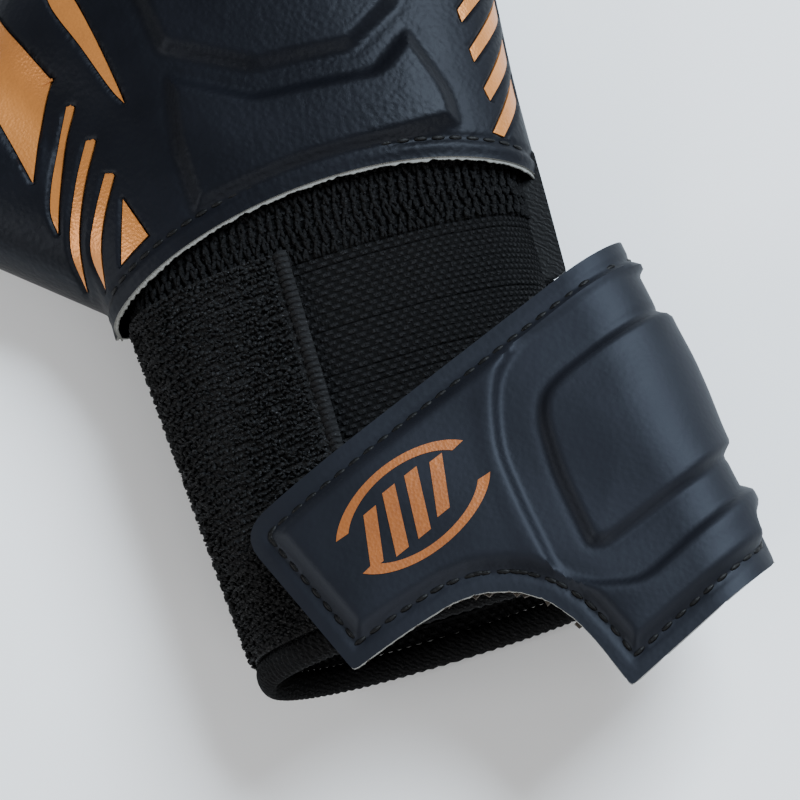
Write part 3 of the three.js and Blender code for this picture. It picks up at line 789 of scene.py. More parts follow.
def cuff_point(angle, y, lift=0.0):
    """The cuff's surface at an angle round the wrist (0 on the little-finger side, 90 on top)."""
    share = np.clip((CUFF_START - y) / (CUFF_START - CUFF_END), 0, 1.2)
    half = CUFF_HALF * (1 - (1 - CUFF_TAPER) * share) + lift
    x = WRIST_SHIFT * (1 - share) + half * power(np.cos(angle))
    return x, y, CUFF_MIDDLE + (CUFF_HALF_HEIGHT + lift) * power(np.sin(angle))


def top_angle(x, y):
    """The angle at which the cuff's upper side passes a place across the wrist."""
    share = np.clip((CUFF_START - y) / (CUFF_START - CUFF_END), 0, 1.2)
    half = CUFF_HALF * (1 - (1 - CUFF_TAPER) * share)
    out = (x - WRIST_SHIFT * (1 - share)) / half
    return np.arccos(np.sign(out) * np.abs(out) ** (ROUNDNESS / 2))


def around(points_at, low, high, pitch, rows, jitter=0.0, seed=3):
    """Even places with tangents and normals along rows round the cuff."""
    random = np.random.default_rng(seed)
    places, along, up = [], [], []
    for y, lift in rows:
        start, end = low(y), high(y)
        angle = np.linspace(start, end, 500)
        line = np.stack(points_at(angle, np.full(500, y), lift), 1)
        run = np.concatenate([[0], np.cumsum(np.linalg.norm(np.diff(line, axis=0), axis=1))])
        count = int(run[-1] / pitch)
        at = (np.arange(count) + random.uniform(0.2, 0.8) + random.uniform(-jitter, jitter, count)) * pitch
        at = np.clip(at, 0.3, run[-1] - 0.3)
        turn = np.interp(at, run, angle)
        here = np.stack(points_at(turn, np.full(count, y), lift), 1)
        ahead = np.stack(points_at(turn + 0.01, np.full(count, y), lift), 1) - here
        out = np.stack(points_at(turn, np.full(count, y), lift + 1), 1) - here
        places.append(here)
        along.append(unit(ahead))
        up.append(unit(out))
    return np.vstack(places), np.vstack(along), np.vstack(up)


LOOP_EDGE_X = node_box("loop_edge_tape")[0][0] - 0.3
LOOP_START = LOOP_HIGH[1]
CHUNKY_END = HEM_Y - 13


def from_side(y):
    return 0.0


def full_turn(y):
    return 2 * math.pi


def past_band_edge(y):
    return float(top_angle(LOOP_EDGE_X, y)) + 0.02


def build_knit():
    """The knitted tube of the cuff: fine ribs round the wrist, each a row of short stitches."""
    rows, columns = 264, 124

    def place(u, v):
        angle = 2 * math.pi * u
        y = CUFF_START + (CUFF_END - CUFF_START) * v
        row = (CUFF_START - y) / 1.25
        rib = np.abs(np.sin(math.pi * row)) ** 0.7
        wave = 0.25 * np.sin(14 * angle + y * 0.11) + 0.3 * np.sin(3 * angle - y * 0.05)
        return cuff_point(angle, y, 0.45 * rib + 0.5 * wave - 0.25)

    obj = panel("knit_cuff_tube", columns, rows, place, size=(215, CUFF_START - CUFF_END))
    merge_close(obj)
    thicken(obj, 1.4)
    shade(obj, 80)
    return obj


def build_chunky():
    """Rows of coarse upright stitches that gather the knit under the hem."""
    rows = [(CHUNKY_END + 1.0 + 2.1 * k, 0.4) for k in range(8)]
    crossed = []
    for lean, seed in ((1.25, 5), (1.75, 6)):
        places, along, up = around(cuff_point, from_side, full_turn, 2.05, rows, 0.14, seed)
        random = np.random.default_rng(seed)
        turn = (lean + random.uniform(-0.2, 0.2, len(places)))[:, None]
        side = np.cross(up, along)
        turned = along * np.cos(turn) + side * np.sin(turn)
        places = places + up * random.uniform(-0.2, 0.35, len(places))[:, None]
        bead = small_ball(3.0, 0.95, 1.3, rings=5, segments=6)
        crossed.append(copies_mesh("stitch", bead, places, turned, up))
        bpy.data.objects.remove(bead)
    return joined("knit_gather", crossed)


def build_hem():
    """The rolled end of the knit, with ribs running over the roll."""

    def place(u, v):
        angle, turn = 2 * math.pi * u, 2 * math.pi * v
        rib = 0.16 * np.cos(120 * angle)
        middle = (HEM_LOW[1] + HEM_HIGH[1]) / 2
        reach = (HEM_HIGH[1] - HEM_LOW[1]) / 2
        y = middle + (reach + rib) * np.cos(turn)
        return cuff_point(angle, y, 0.1 + (1.7 + rib) * np.sin(turn))

    obj = panel("cuff_hem_roll", 480, 16, place, size=(210, 18))
    merge_close(obj)
    face_outwards(obj)
    shade(obj, 80)
    return obj


def build_loop_band():
    """The wide band that the strap's hooks hold on to, round the thumb side and underneath."""

    def place(u, v):
        y = LOOP_START + (LOOP_LOW[1] - LOOP_START) * v
        start = top_angle(LOOP_EDGE_X, y)
        angle = start + (2 * math.pi - start) * u
        ripple = 0.25 * np.sin(2 * math.pi * y / 2.7) + 0.2 * np.sin(angle * 9 + y * 0.08)
        return cuff_point(angle, y, 1.35 + ripple)

    obj = panel("loop_band_cloth", 150, 120, place, size=(155, LOOP_START - LOOP_LOW[1]))
    thicken(obj, 1.0)
    shade(obj, 80)
    return obj


def build_loops():
    """The band's pile: rows of small loops round the wrist."""
    pitch = 1.35
    count = int((LOOP_START - LOOP_LOW[1]) / pitch)
    rows = [(LOOP_START - 0.6 - pitch * k, 1.5 + 0.35 * (k % 2)) for k in range(count)]
    places, along, up = around(cuff_point, past_band_edge, full_turn, 0.82, rows, 0.4, 11)
    random = np.random.default_rng(12)
    lean = random.uniform(-1.3, 1.3, len(places))[:, None]
    side = np.cross(up, along)
    turned = along * np.cos(lean) + side * np.sin(lean)
    up = unit(up + random.uniform(-0.6, 0.6, (len(places), 3)))
    places = places + side * random.uniform(-0.45, 0.45, len(places))[:, None]
    bead = small_ball(1.25, 0.55, 1.7, rings=3, segments=4)
    obj = copies_mesh("loop_pile", bead, places, turned, up)
    bpy.data.objects.remove(bead)
    return obj


def build_edge_tape():
    """The ribbed selvage along the loop band's edge on top of the wrist."""

    def place(u, v):
        y = LOOP_START + (LOOP_LOW[1] - LOOP_START) * v
        angle = top_angle(LOOP_EDGE_X + TAPE_WIDTH * u, y)
        rib = 0.28 * np.cos(2 * math.pi * y / 1.35)
        return cuff_point(angle, y, 1.1 + 0.7 * np.sin(math.pi * np.clip(u, 0, 1)) + rib)

    obj = panel("loop_band_selvage", 8, 300, place, size=(TAPE_WIDTH, LOOP_START - LOOP_LOW[1]))
    face_outwards(obj)
    thicken(obj, 0.8)
    shade(obj, 80)
    return obj


def build_flange():
    """The flat fin of seam allowance that stands out from the little-finger side."""
    start, end = FLANGE_HIGH[1] + 3.5, FLANGE_LOW[1] - 11

    def place(u, v):
        y = start + (end - start) * v
        inner = cuff_point(np.zeros(len(u)), y, -0.5)[0]
        outer = FLANGE_HIGH[0] + 0.7 - 1.4 * v - 2.6 * (1 - np.sqrt(np.clip(v / 0.06, 0, 1)))
        outer = np.maximum(inner + 0.5, outer - 6 * smooth(v, 0.93, 1))
        z = FLANGE_LOW[2] - 0.6 + 0.9 * np.sin(v * 5)
        return inner + (outer - inner) * u, y, z + 1.4

    obj = panel("side_seam_fin", 8, 60, place, size=(5, 28))
    thicken(obj, 1.3)
    face_outwards(obj)
    shade(obj)
    return obj


def build_linings():
    """The thin cloth bag inside the hand."""

    def place(u, v):
        y = HEM_Y + 3 + (KNUCKLE_Y - 6 - HEM_Y) * v
        over = hand_at(BACK_TABLE, np.minimum(u * 2, 1), y)
        under = hand_at(PALM_TABLE, np.clip(2 - u * 2, 0, 1), y)
        return tuple(np.where(u < 0.5, a, b) for a, b in zip(over, under))

    obj = panel("hand_lining", 160, 40, place, size=(230, 92))
    merge_close(obj)
    points = coordinates(obj) / MM
    axis = np.stack([hand_shift(points[:, 1]), points[:, 1], (hand_top(points[:, 1]) - SINK) / 2], 1)
    axis[:, 0] = np.where(points[:, 0] < -40, -30, np.where(points[:, 0] > 30, 30, points[:, 0]))
    move_vertices(obj, (points + unit(axis - points, 1.0) * 5.0) * MM)
    thicken(obj, 0.8, even=False)
    shade(obj, 80)
    return obj


# ---- strap -------------------------------------------------------------------------------------

FOLD_AT = joint_place("strap_fold")
FOLD_LINE = -joint_axis("strap_fold")[:2]
FOLD_IN = np.array((FOLD_LINE[1], -FOLD_LINE[0]))
FOLD_IN *= -np.sign(FOLD_IN[0])
FOLD_CORNER = FOLD_AT[:2] - FOLD_LINE * FOLD_MIDDLE
FOLD_Z = FOLD_AT[2]
ROOT_AT = joint_place("strap_root")
FOLD_ARC = 22.6  # length of cloth in the upper half of the fold
ARC_GAIN = FOLD_ARC - FOLD_REACH
ROOT_ARC = 20.0  # length of cloth between the root and the fold
COS, SIN = math.cos(FOLD_SLANT), math.sin(FOLD_SLANT)
FOLD_TURN = np.linspace(0, math.pi / 2, 200)
FOLD_RUN = np.concatenate([[0], np.cumsum(np.hypot(
    np.diff(FOLD_REACH * (1 - np.cos(FOLD_TURN))), np.diff(FOLD_HEIGHT * np.sin(FOLD_TURN))))])
FOLD_RUN *= FOLD_ARC / FOLD_RUN[-1]


def droop(x):
    """How far the tab hangs below the level strap, over the thumb side's round shoulder."""
    along = ((CUFF_START - (CUFF_END + ROOT_AT[1]) / 2) / (CUFF_START - CUFF_END))
    half = CUFF_HALF * (1 - (1 - CUFF_TAPER) * along) + BAND_OUTER
    middle = WRIST_SHIFT * (1 - along)
    share = np.clip((middle - x) / half, 0, 0.9)
    shoulder = (1 - share**ROUNDNESS) ** (1 / ROUNDNESS)
    return 0.85 * (CUFF_HALF_HEIGHT + BAND_OUTER) * (1 - shoulder)


def unrolled(corners):
    """Outline corners given over the level strap, moved to where they lie on the flat cut."""
    out = []
    for s, t, *rest in corners:
        inward, down = COS * s - SIN * t, SIN * s + COS * t
        if inward < FOLD_REACH:
            turn = math.acos(min(max(1 - inward / FOLD_REACH, -1), 1))
            inward = float(np.interp(turn, FOLD_TURN, FOLD_RUN)) - ARC_GAIN
        out.append((COS * inward + SIN * down, -SIN * inward + COS * down, *rest))
    return out


def strap_point(s, t, lift=0.0):
    """A point over the strap, from its place on the flat cut and its height above the skin."""
    inward, down = COS * s - SIN * t, SIN * s + COS * t
    run = inward + ARC_GAIN
    turn = np.interp(run, FOLD_RUN, FOLD_TURN)
    level = np.maximum(run - FOLD_ARC, 0)
    reach = FOLD_REACH - (FOLD_REACH + lift) * np.cos(turn) + level
    height = (FOLD_HEIGHT + lift) * np.sin(turn)
    share = np.clip(-run / ROOT_ARC, 0, 1)
    root_x = ROOT_AT[0] - 1.8 - 0.02 * down
    fold_x = FOLD_CORNER[0] + FOLD_LINE[0] * down
    full = fold_x - root_x
    lower = run < 0
    turn = (1 - share) * math.pi / 2
    rise = FOLD_Z - ROOT_AT[2]
    reach = np.where(lower, full - (full + lift) * np.sin(turn), reach)
    height = np.where(lower, -rise + rise * (1 - np.cos(turn)) - lift * np.cos(turn), height)
    x = FOLD_CORNER[0] + FOLD_LINE[0] * down + FOLD_IN[0] * reach
    y = FOLD_CORNER[1] + FOLD_LINE[1] * down + FOLD_IN[1] * reach
    return x, y, FOLD_Z + height - np.where(lower, 0, droop(x))


def on_strap(flat, lift=0.0):
    """Points over the strap from places on its flat cut, as rows of an array."""
    return np.stack(strap_point(flat[:, 0], flat[:, 1], lift), 1)


EXTRA = -(ARC_GAIN + ROOT_ARC)  # the cut's far end, inward of the fold's middle
STRAP_CORNERS = [(101, 1.0, 7), (101, 39.6, 1.2), (85, 40.6, 8), (74.7, 42.1, 5), (68.4, 45.6, 5),
                 (63.6, 50.6, 5), (61.0, 57.0, 5), (60.1, 64.4, 5), (60.7, 77.8, 1), (20, 73.7, 6)]


def strap_cut(short=0):
    """The strap's flat cut: tab, notch, wide part and the leg that runs under to its root."""
    far = EXTRA + short
    root_top = (COS * far + SIN * 3, -SIN * far + COS * 3, 0)
    root_end = (COS * far + SIN * 68, -SIN * far + COS * 68, 0)
    fold_top, fold_end = unrolled([(0.0, 0.0, 4), (-1.5, 78.5, 3)])
    return rounded([root_end, root_top, fold_top, *unrolled(STRAP_CORNERS), fold_end], 7)


def wrapped(corners, far=-13):
    """An outline on the strap that runs on round the fold."""
    flat = unrolled(corners)
    first, last = flat[0], flat[-1]
    return rounded([(far, first[1] + 3, 0), *flat, (far - 3, last[1] - 4, 0)], 6)


CHANNEL = [(6, 7.6, 2), (22, 8.2, 4), (33.5, 7.7, 4), (40.2, 10.7, 3), (44.8, 15.7, 3), (49.8, 23.3, 4),
           (53.4, 35, 5), (57, 49.5, 3), (54, 56.3, 3.5), (45.4, 62.7, 4), (24.7, 61, 5), (13, 57.6, 2)]
PAD = [(6, 17.5, 1), (31.2, 18.2, 4), (36.2, 19.7, 2.2), (39.6, 23.3, 3), (44.4, 34.4, 4),
       (48.6, 50.2, 1.6), (45.8, 52.4, 1.8), (25.5, 52.8, 4), (12.4, 49.4, 2)]


def strap_relief(s, t, cut):
    """Height of the embossing over the strap's flat cut."""
    open_cut = np.array([p for p in cut if COS * p[0] - SIN * p[1] > -ARC_GAIN - 2])
    far = -200
    first, last = open_cut[0], open_cut[-1]
    wide = np.vstack([[(far, last[1] + 55), (far, first[1] - 55)], open_cut])
    inner = -edge_distance(s, t, wide)
    height = 2.4 * smooth(inner, 3.6, 7.4) - 0.6 * bump_at(inner, 4.3, 1.0)
    height += 0.25 * np.sin(s * 0.19 + t * 0.07) * smooth(inner, 4, 12)
    channel = -edge_distance(s, t, wrapped(CHANNEL))
    height -= 2.0 * smooth(channel, -1.3, 0.7)
    height += 0.2 * bump_at(channel, -2.6, 2.0)
    pad = -edge_distance(s, t, wrapped(PAD))
    height += 2.3 * smooth(pad, -0.4, 1.9) + 0.5 * smooth(pad, 2, 14)
    height -= 0.2 * bump_at(pad, -0.9, 0.7)
    inward = COS * s - SIN * t
    return height * smooth(inward, EXTRA + 4, EXTRA + 16)


def build_strap():
    cut = strap_cut()
    obj = cut_panel("strap_skin", cut, 0.85)
    flat = coordinates(obj)[:, :2] / MM
    lift = strap_relief(flat[:, 0], flat[:, 1], cut)
    move_vertices(obj, on_strap(flat, lift) * MM)
    face_up(obj)
    dress(obj, made("strap_skin"), made("cut_edge"))
    thicken(obj, 1.7, rim=1)
    shade(obj, 50)
    return obj


def face_up(obj):
    """Turns an open sheet over if most of it faces down."""
    if read(obj.data.polygons, "normal")[:, 2].mean() < 0:
        edit_all(obj, bpy.ops.mesh.flip_normals)


def strap_layer(name, outline, lift, thickness, pitch=1.3):
    """A sheet that follows the strap at a depth, cut to an outline on the flat cut."""
    obj = cut_panel(name, outline, pitch)
    flat = coordinates(obj)[:, :2] / MM
    move_vertices(obj, on_strap(flat, lift) * MM)
    face_up(obj)
    thicken(obj, thickness)
    shade(obj)
    return obj


def shrunk(outline, edge):
    """An outline moved inwards by a distance."""
    before, after = np.roll(outline, 1, axis=0), np.roll(outline, -1, axis=0)
    run = unit(after - before)
    normal = np.stack([-run[:, 1], run[:, 0]], 1)
    area = np.sum(outline[:, 0] * after[:, 1] - after[:, 0] * outline[:, 1])
    return outline + normal * edge * (1 if area > 0 else -1)


STEM_DEPTH = -3.4  # the hook stems' middles under the strap's skin
HOOKS = [(68, 6, 3), (95, 6, 4), (95, 34.5, 3), (72, 35.5, 3)]


def build_hooks():
    """The strap's grip: a patch with rows of small stems on its inner side."""
    outline = rounded(unrolled(HOOKS))
    patch = strap_layer("hook_patch_cloth", outline, -2.6, 0.6)
    s, t = np.meshgrid(np.arange(66, 97, 1.5), np.arange(4, 38, 1.5))
    s, t = s.ravel() + (np.arange(s.size) // s.shape[1] % 2) * 0.75, t.ravel()
    keep = edge_distance(s, t, outline) < -0.8
    s, t = s[keep], t[keep]
    flat = np.stack([s, t], 1)
    places = on_strap(flat, STEM_DEPTH)
    up = np.tile((0.0, 0.0, -1.0), (len(s), 1))
    along = unit(on_strap(flat + (0.5, 0), STEM_DEPTH) - places)
    bead = small_ball(0.7, 0.7, 1.3, rings=4, segments=5)
    stems = copies_mesh("hook_stems", bead, places, along, up)
    bpy.data.objects.remove(bead)
    return patch, stems


MARK_MIDDLE = (71, 21.5)


def build_mark():
    """The printed decoration on the tab: plain slanted bars inside a broken ring."""
    pieces = []
    centre = np.array(MARK_MIDDLE)
    cut = strap_cut()

    def strip(name, right, left, steps):
        right, left = np.array(right, float), np.array(left, float)

        def place(u, v):
            run = np.linspace(0, 1, len(right))
            a = np.stack([np.interp(v, run, right[:, k]) for k in (0, 1)], 1)
            b = np.stack([np.interp(v, run, left[:, k]) for k in (0, 1)], 1)
            at = centre + a + (b - a) * u[:, None]
            lift = strap_relief(at[:, 0], at[:, 1], cut) + 0.12
            return strap_point(at[:, 0], at[:, 1], lift)

        obj = panel(name, 6, steps, place, size=(4, 20))
        face_up(obj)
        pieces.append(obj)

    def arc(radius, low, high, squeeze=0.72):
        turn = np.radians(np.linspace(low, high, 24))
        return np.stack([radius * 1.25 * np.cos(turn), radius * squeeze * np.sin(turn)], 1)

    strip("mark", arc(14.5, 25, 155), arc(12.2, 28, 152), 40)
    strip("mark", arc(14.5, 205, 335), arc(12.2, 208, 332), 40)
    for shift in (-8.5, -2.8, 2.9, 8.6):
        reach = 6.6 - 0.18 * abs(shift)
        strip("mark", [(shift - 3, -reach), (shift + 3, reach)],
              [(shift + 0.2, -reach), (shift + 6.2, reach)], 14)
    obj = joined("strap_mark", pieces)
    thicken(obj, 0.2)
    return obj


def build_root():
    """The stretch tape that holds the strap's leg to the side of the cuff."""
    low, high = ROOT_AT[1] - 8, CUFF_END + 2

    def place(u, v):
        y = low + (high - low) * v
        z = ROOT_AT[2] + 4.2 + 3.4 * u
        angle = np.arcsin(((z - CUFF_MIDDLE) / CUFF_HALF_HEIGHT) ** (ROUNDNESS / 2))
        rib = 0.1 * np.cos(2 * math.pi * y / 1.6)
        return cuff_point(angle, y, 1.3 + rib + 0.5 * np.sin(math.pi * np.clip(u, 0, 1)))

    obj = panel("strap_root_elastic", 10, 180, place, size=(6, low - high))
    face_up(obj)
    thicken(obj, 1.0)
    shade(obj, 80)
    return obj


# ---- materials ---------------------------------------------------------------------------------


def add(tree, kind, inputs=None, **settings):
    """A shader node with its settings and its inputs, each a value or another node's output."""
    node = tree.nodes.new(kind)
    for key, value in settings.items():
        setattr(node, key, value)
    for key, value in (inputs or {}).items():
        if isinstance(value, bpy.types.NodeSocket):
            tree.links.new(value, node.inputs[key])
        else:
            node.inputs[key].default_value = value
    return node


def calculated(tree, operation, a, b=0.5):
    return add(tree, "ShaderNodeMath", {0: a, 1: b}, operation=operation).outputs[0]


def mixed(tree, share, low, high):
    node = add(tree, "ShaderNodeMix", data_type="RGBA")
    for socket, value in ((node.inputs["Factor"], share), (node.inputs[6], low), (node.inputs[7], high)):
        if isinstance(value, bpy.types.NodeSocket):
            tree.links.new(value, socket)
        else:
            socket.default_value = value
    return node.outputs[2]


def ranged(tree, value, low, high, from_low=0.0, from_high=1.0):
    node = add(tree, "ShaderNodeMapRange", {"Value": value, "From Min": from_low, "From Max": from_high,
                                           "To Min": low, "To Max": high})
    return node.outputs["Result"]


def effect(name, outputs):
    """A node group with the given outputs (name: socket type)."""
    group = bpy.data.node_groups.new(name, "ShaderNodeTree")
    for key, kind in outputs.items():
        group.interface.new_socket(key, in_out="OUTPUT", socket_type=kind)
    return group, group.nodes.new("NodeGroupOutput")


def grain_effect():
    """Pebbled leather grain: its height, and a broad mask of where it is worn smooth."""
    group, out = effect("leather_grain", {"Height": "NodeSocketFloat", "Worn": "NodeSocketFloat"})
    place = add(group, "ShaderNodeTexCoord").outputs["Object"]
    pebbles = add(group, "ShaderNodeTexVoronoi", {"Vector": place, "Scale": 820.0},
                  feature="SMOOTH_F1")
    pebbles.inputs["Smoothness"].default_value = 0.7
    creases = add(group, "ShaderNodeTexNoise", {"Vector": place, "Scale": 330.0, "Detail": 6.0,
                                                "Roughness": 0.62, "Distortion": 0.6})
    height = calculated(group, "ADD", calculated(group, "MULTIPLY", pebbles.outputs["Distance"], 0.55),
                        calculated(group, "MULTIPLY", creases.outputs[0], 0.7))
    broad = add(group, "ShaderNodeTexNoise", {"Vector": place, "Scale": 42.0, "Detail": 4.0})
    group.links.new(height, out.inputs["Height"])
    group.links.new(ranged(group, broad.outputs[0], 0, 1, 0.35, 0.68), out.inputs["Worn"])
    return group


def yarn_effect():
    """Twisted yarn: its height, and a mask of pale fibres caught by the light."""
    group, out = effect("twisted_yarn", {"Height": "NodeSocketFloat", "Fibre_glint": "NodeSocketFloat"})
    place = add(group, "ShaderNodeTexCoord").outputs["Object"]
    twist = add(group, "ShaderNodeTexWave", {"Vector": place, "Scale": 420.0, "Distortion": 6.0,
                                             "Detail": 3.0, "Detail Scale": 2.0}, bands_direction="DIAGONAL")
    fuzz = add(group, "ShaderNodeTexNoise", {"Vector": place, "Scale": 2600.0, "Detail": 3.0})
    height = calculated(group, "ADD", calculated(group, "MULTIPLY", twist.outputs["Fac"], 0.6),
                        calculated(group, "MULTIPLY", fuzz.outputs[0], 0.5))
    fibre_glint = ranged(group, fuzz.outputs[0], 0, 1, 0.56, 0.72)
    group.links.new(height, out.inputs["Height"])
    group.links.new(fibre_glint, out.inputs["Fibre_glint"])
    return group


def knit_effect():
    """Rows of short knitted stitches, each row half a stitch on: height, and a crest mask that the knit's
    colour follows as painted highlight on the crests and painted shade in the gaps.
    """
    group, out = effect("knit_rows", {"Height": "NodeSocketFloat", "Crest": "NodeSocketFloat"})
    place = add(group, "ShaderNodeTexCoord")
    uv = add(group, "ShaderNodeSeparateXYZ", {0: place.outputs["UV"]})
    row = calculated(group, "DIVIDE", uv.outputs["Y"], 0.00125)
    shift = calculated(group, "MULTIPLY", calculated(group, "MODULO", calculated(
        group, "FLOOR", row), 2.0), 0.5)
    stitch = calculated(group, "ADD", calculated(group, "DIVIDE", uv.outputs["X"], 0.215 / 118), shift)
    rib = calculated(group, "ABSOLUTE", calculated(group, "SINE", calculated(
        group, "MULTIPLY", row, math.pi)))
    dash = calculated(group, "COSINE", calculated(group, "MULTIPLY", stitch, 2 * math.pi))
    fuzz = add(group, "ShaderNodeTexNoise", {"Vector": place.outputs["Object"], "Scale": 1900.0,
                                             "Detail": 3.0})
    crest = calculated(group, "MULTIPLY", rib, ranged(group, dash, 0.0, 1.15, -0.7, 0.6))
    crest = calculated(group, "MULTIPLY", crest, ranged(group, fuzz.outputs[0], 0.3, 1.3, 0.3, 0.7))
    height = calculated(group, "ADD", crest, calculated(group, "MULTIPLY", fuzz.outputs[0], 0.5))
    group.links.new(height, out.inputs["Height"])
    group.links.new(crest, out.inputs["Crest"])
    return group


def print_effect():
    """Mottling of a foil print: colour share and height."""
    group, out = effect("foil_mottle", {"Share": "NodeSocketFloat", "Height": "NodeSocketFloat"})
    place = add(group, "ShaderNodeTexCoord").outputs["Object"]
    broad = add(group, "ShaderNodeTexNoise", {"Vector": place, "Scale": 120.0, "Detail": 5.0,
                                              "Roughness": 0.7})
    grit = add(group, "ShaderNodeTexVoronoi", {"Vector": place, "Scale": 1500.0})
    share = calculated(group, "ADD", ranged(group, broad.outputs[0], 0, 0.75, 0.3, 0.7),
                       calculated(group, "MULTIPLY", grit.outputs["Distance"], 0.35))
    group.links.new(share, out.inputs["Share"])
    group.links.new(grit.outputs["Distance"], out.inputs["Height"])
    return group


def surface(name, group, colour, roughness, height, distance, strength=0.6, **sockets):
    """A material from a low and high colour and roughness, chosen by a mask, with a bump."""
    material = bpy.data.materials.new(name)
    material.use_nodes = True
    tree = material.node_tree
    shader = next(n for n in tree.nodes if n.type == "BSDF_PRINCIPLED")
    pattern = add(tree, "ShaderNodeGroup", node_tree=group)
    mask = pattern.outputs[height[1]]
    tree.links.new(mixed(tree, mask, *colour), shader.inputs["Base Color"])
    tree.links.new(ranged(tree, mask, *roughness), shader.inputs["Roughness"])
    bump = add(tree, "ShaderNodeBump", {"Height": pattern.outputs[height[0]], "Strength": strength,
                                        "Distance": distance})
    tree.links.new(bump.outputs["Normal"], shader.inputs["Normal"])
    for key, value in sockets.items():
        shader.inputs[key.replace("_", " ")].default_value = value
    return material


def tint(colour, factor):
    return (*(min(c * factor, 1.0) for c in colour[:3]), 1.0)


def make_materials(look):
    """Every material of the glove, by name."""
    grain, yarn, foil, rows = grain_effect(), yarn_effect(), print_effect(), knit_effect()
    skin, copper, knit, edge = look.skin_colour, look.copper_colour, look.knit_colour, look.edge_colour
    leather = ("Height", "Worn")
    # The yarn's glint mask paints highlights: where it is high, the gather, loops, tape, cut edge, thread and
    # lining are painted lighter, as painted glints of fibres catching the light.
    thread = ("Height", "Fibre_glint")
    mottle = ("Height", "Share")
    finishes = (
        # The foam skin's reflections are tinted blue: a painted tint that stands for the bluish light they
        # reflect.
        surface("glove_foam_skin", grain, (tint(skin, 0.6), tint(skin, 1.0)), (0.44, 0.54), leather,
                0.00035, 0.45, Specular_IOR_Level=0.12, Specular_Tint=(0.82, 0.88, 1.0, 1)),
        # The strap's skin is a lighter copy of the foam skin (0.8 to 1.35 of the skin colour against 0.6 to
        # 1.0): painted light, for the light the strap's pad catches. Its reflections are tinted blue, a
        # painted tint of the bluish light they reflect.
        surface("glove_strap_skin", grain, (tint(skin, 0.8), tint(skin, 1.35)), (0.54, 0.6), leather,
                0.0002, 0.3, Specular_IOR_Level=0.22, Specular_Tint=(0.76, 0.84, 1.0, 1)),
        surface("glove_palm_latex", grain, (tint(skin, 0.6), tint(skin, 0.9)), (0.42, 0.55), leather,
                0.0004, 0.5, Specular_IOR_Level=0.14),
        surface("glove_copper_foil", foil, (tint(copper, 0.82), tint(copper, 1.12)), (0.42, 0.30), mottle,
                0.00012, 0.5, Metallic=0.45),
        surface("glove_copper_print", foil, ((copper[0] * 0.45, copper[1] * 0.36, copper[2] * 0.34, 1),
                                            (copper[0] * 0.68, copper[1] * 0.58, copper[2] * 0.55, 1)),
                (0.5, 0.38), mottle, 0.0001, 0.5, Metallic=0.3),
        # The knit's colour follows the crest mask: painted shade in the gaps between stitches (0.3 of the knit
        # colour) and painted highlight on the crests (2.4 of it).
        surface("glove_knit", rows, (tint(knit, 0.3), tint(knit, 2.4)), (0.9, 0.55), ("Height", "Crest"),
                0.0007, 1.0, Specular_IOR_Level=0.1),
        surface("glove_gather", yarn, (tint(knit, 0.5), tint(knit, 1.8)), (0.85, 0.5), thread,
                0.0003, 0.8, Specular_IOR_Level=0.12),
        surface("glove_loops", yarn, (tint(knit, 0.45), tint(knit, 3.4)), (0.8, 0.35), thread,
                0.0003, 0.8, Specular_IOR_Level=0.2),
        surface("glove_tape", yarn, (tint(knit, 0.9), tint(knit, 2.5)), (0.75, 0.5), thread,
                0.0002, 0.6, Specular_IOR_Level=0.15),
        surface("glove_cut_edge", yarn, (tint(edge, 0.85), edge), (0.95, 0.85), thread, 0.0002, 0.7),
        surface("glove_thread", yarn, (tint(knit, 0.35), tint(knit, 1.1)), (0.55, 0.45), thread,
                0.0001, 0.6, Specular_IOR_Level=0.16),
        surface("glove_lining", yarn, ((0.035, 0.026, 0.018, 1), (0.06, 0.048, 0.034, 1)), (0.9, 0.75),
                thread, 0.0003, 0.8),
        surface("glove_hooks", foil, ((0.03, 0.024, 0.018, 1), (0.06, 0.05, 0.038, 1)), (0.45, 0.3),
                mottle, 0.0001, 0.4),
    )
    return finishes


def made(name):
    return bpy.data.materials[f"glove_{name}"]


# ---- settings, operators and panel -------------------------------------------------------------


class GLOVE_PG_look(bpy.types.PropertyGroup):
    skin_colour: FloatVectorProperty(
        name="Skin", description="Colour of the foam and latex skins", subtype="COLOR", size=4,
        min=0, max=1, default=(0.0042, 0.0046, 0.0066, 1))
    copper_colour: FloatVectorProperty(
        name="Copper", description="Colour of the foil inlays and the print", subtype="COLOR", size=4,
        min=0, max=1, default=(0.50, 0.185, 0.042, 1))
    knit_colour: FloatVectorProperty(
        name="Knit", description="Colour of the cuff, band and threads", subtype="COLOR", size=4,
        min=0, max=1, default=(0.0065, 0.0065, 0.007, 1))
    edge_colour: FloatVectorProperty(
        name="Cut edge", description="Colour of the foam where it is cut", subtype="COLOR", size=4,
        min=0, max=1, default=(0.2, 0.2, 0.185, 1))
    skin_thickness: FloatProperty(
        name="Skin thickness", description="Thickness of the foam that shows at the hem",
        subtype="DISTANCE", unit="LENGTH", min=0.0008, max=0.003, default=0.0014)
    stitch_length: FloatProperty(
        name="Stitch length", description="Length of one sewing stitch",
        subtype="DISTANCE", unit="LENGTH", min=0.001, max=0.006, default=0.0029)


class GloveOperator:
    bl_options = {"REGISTER", "UNDO"}

    def execute(self, context):
        self.build(context.scene.glove_look)
        return {"FINISHED"}


class GLOVE_OT_materials(GloveOperator, bpy.types.Operator):
    """Makes the glove's materials"""

    bl_idname = "glove.materials"
    bl_label = "Materials"

    def build(self, look):
        make_materials(look)


def hem_stitches(look):
    """The row of stitches that runs along the backhand's hem."""
    form = build_back(relief=False, cells=(150, 90))
    x = np.linspace(-48, 45.5, 400)
    y = hem_line(x) + 4.3
    line, up = dropped(form, x, y)
    bpy.data.objects.remove(form)
    return stitch_row("hem_stitches", line - up * 0.55, up,
                      look.stitch_length / MM + STITCH_GAP, look.stitch_length / MM, STITCH_WIDTH)


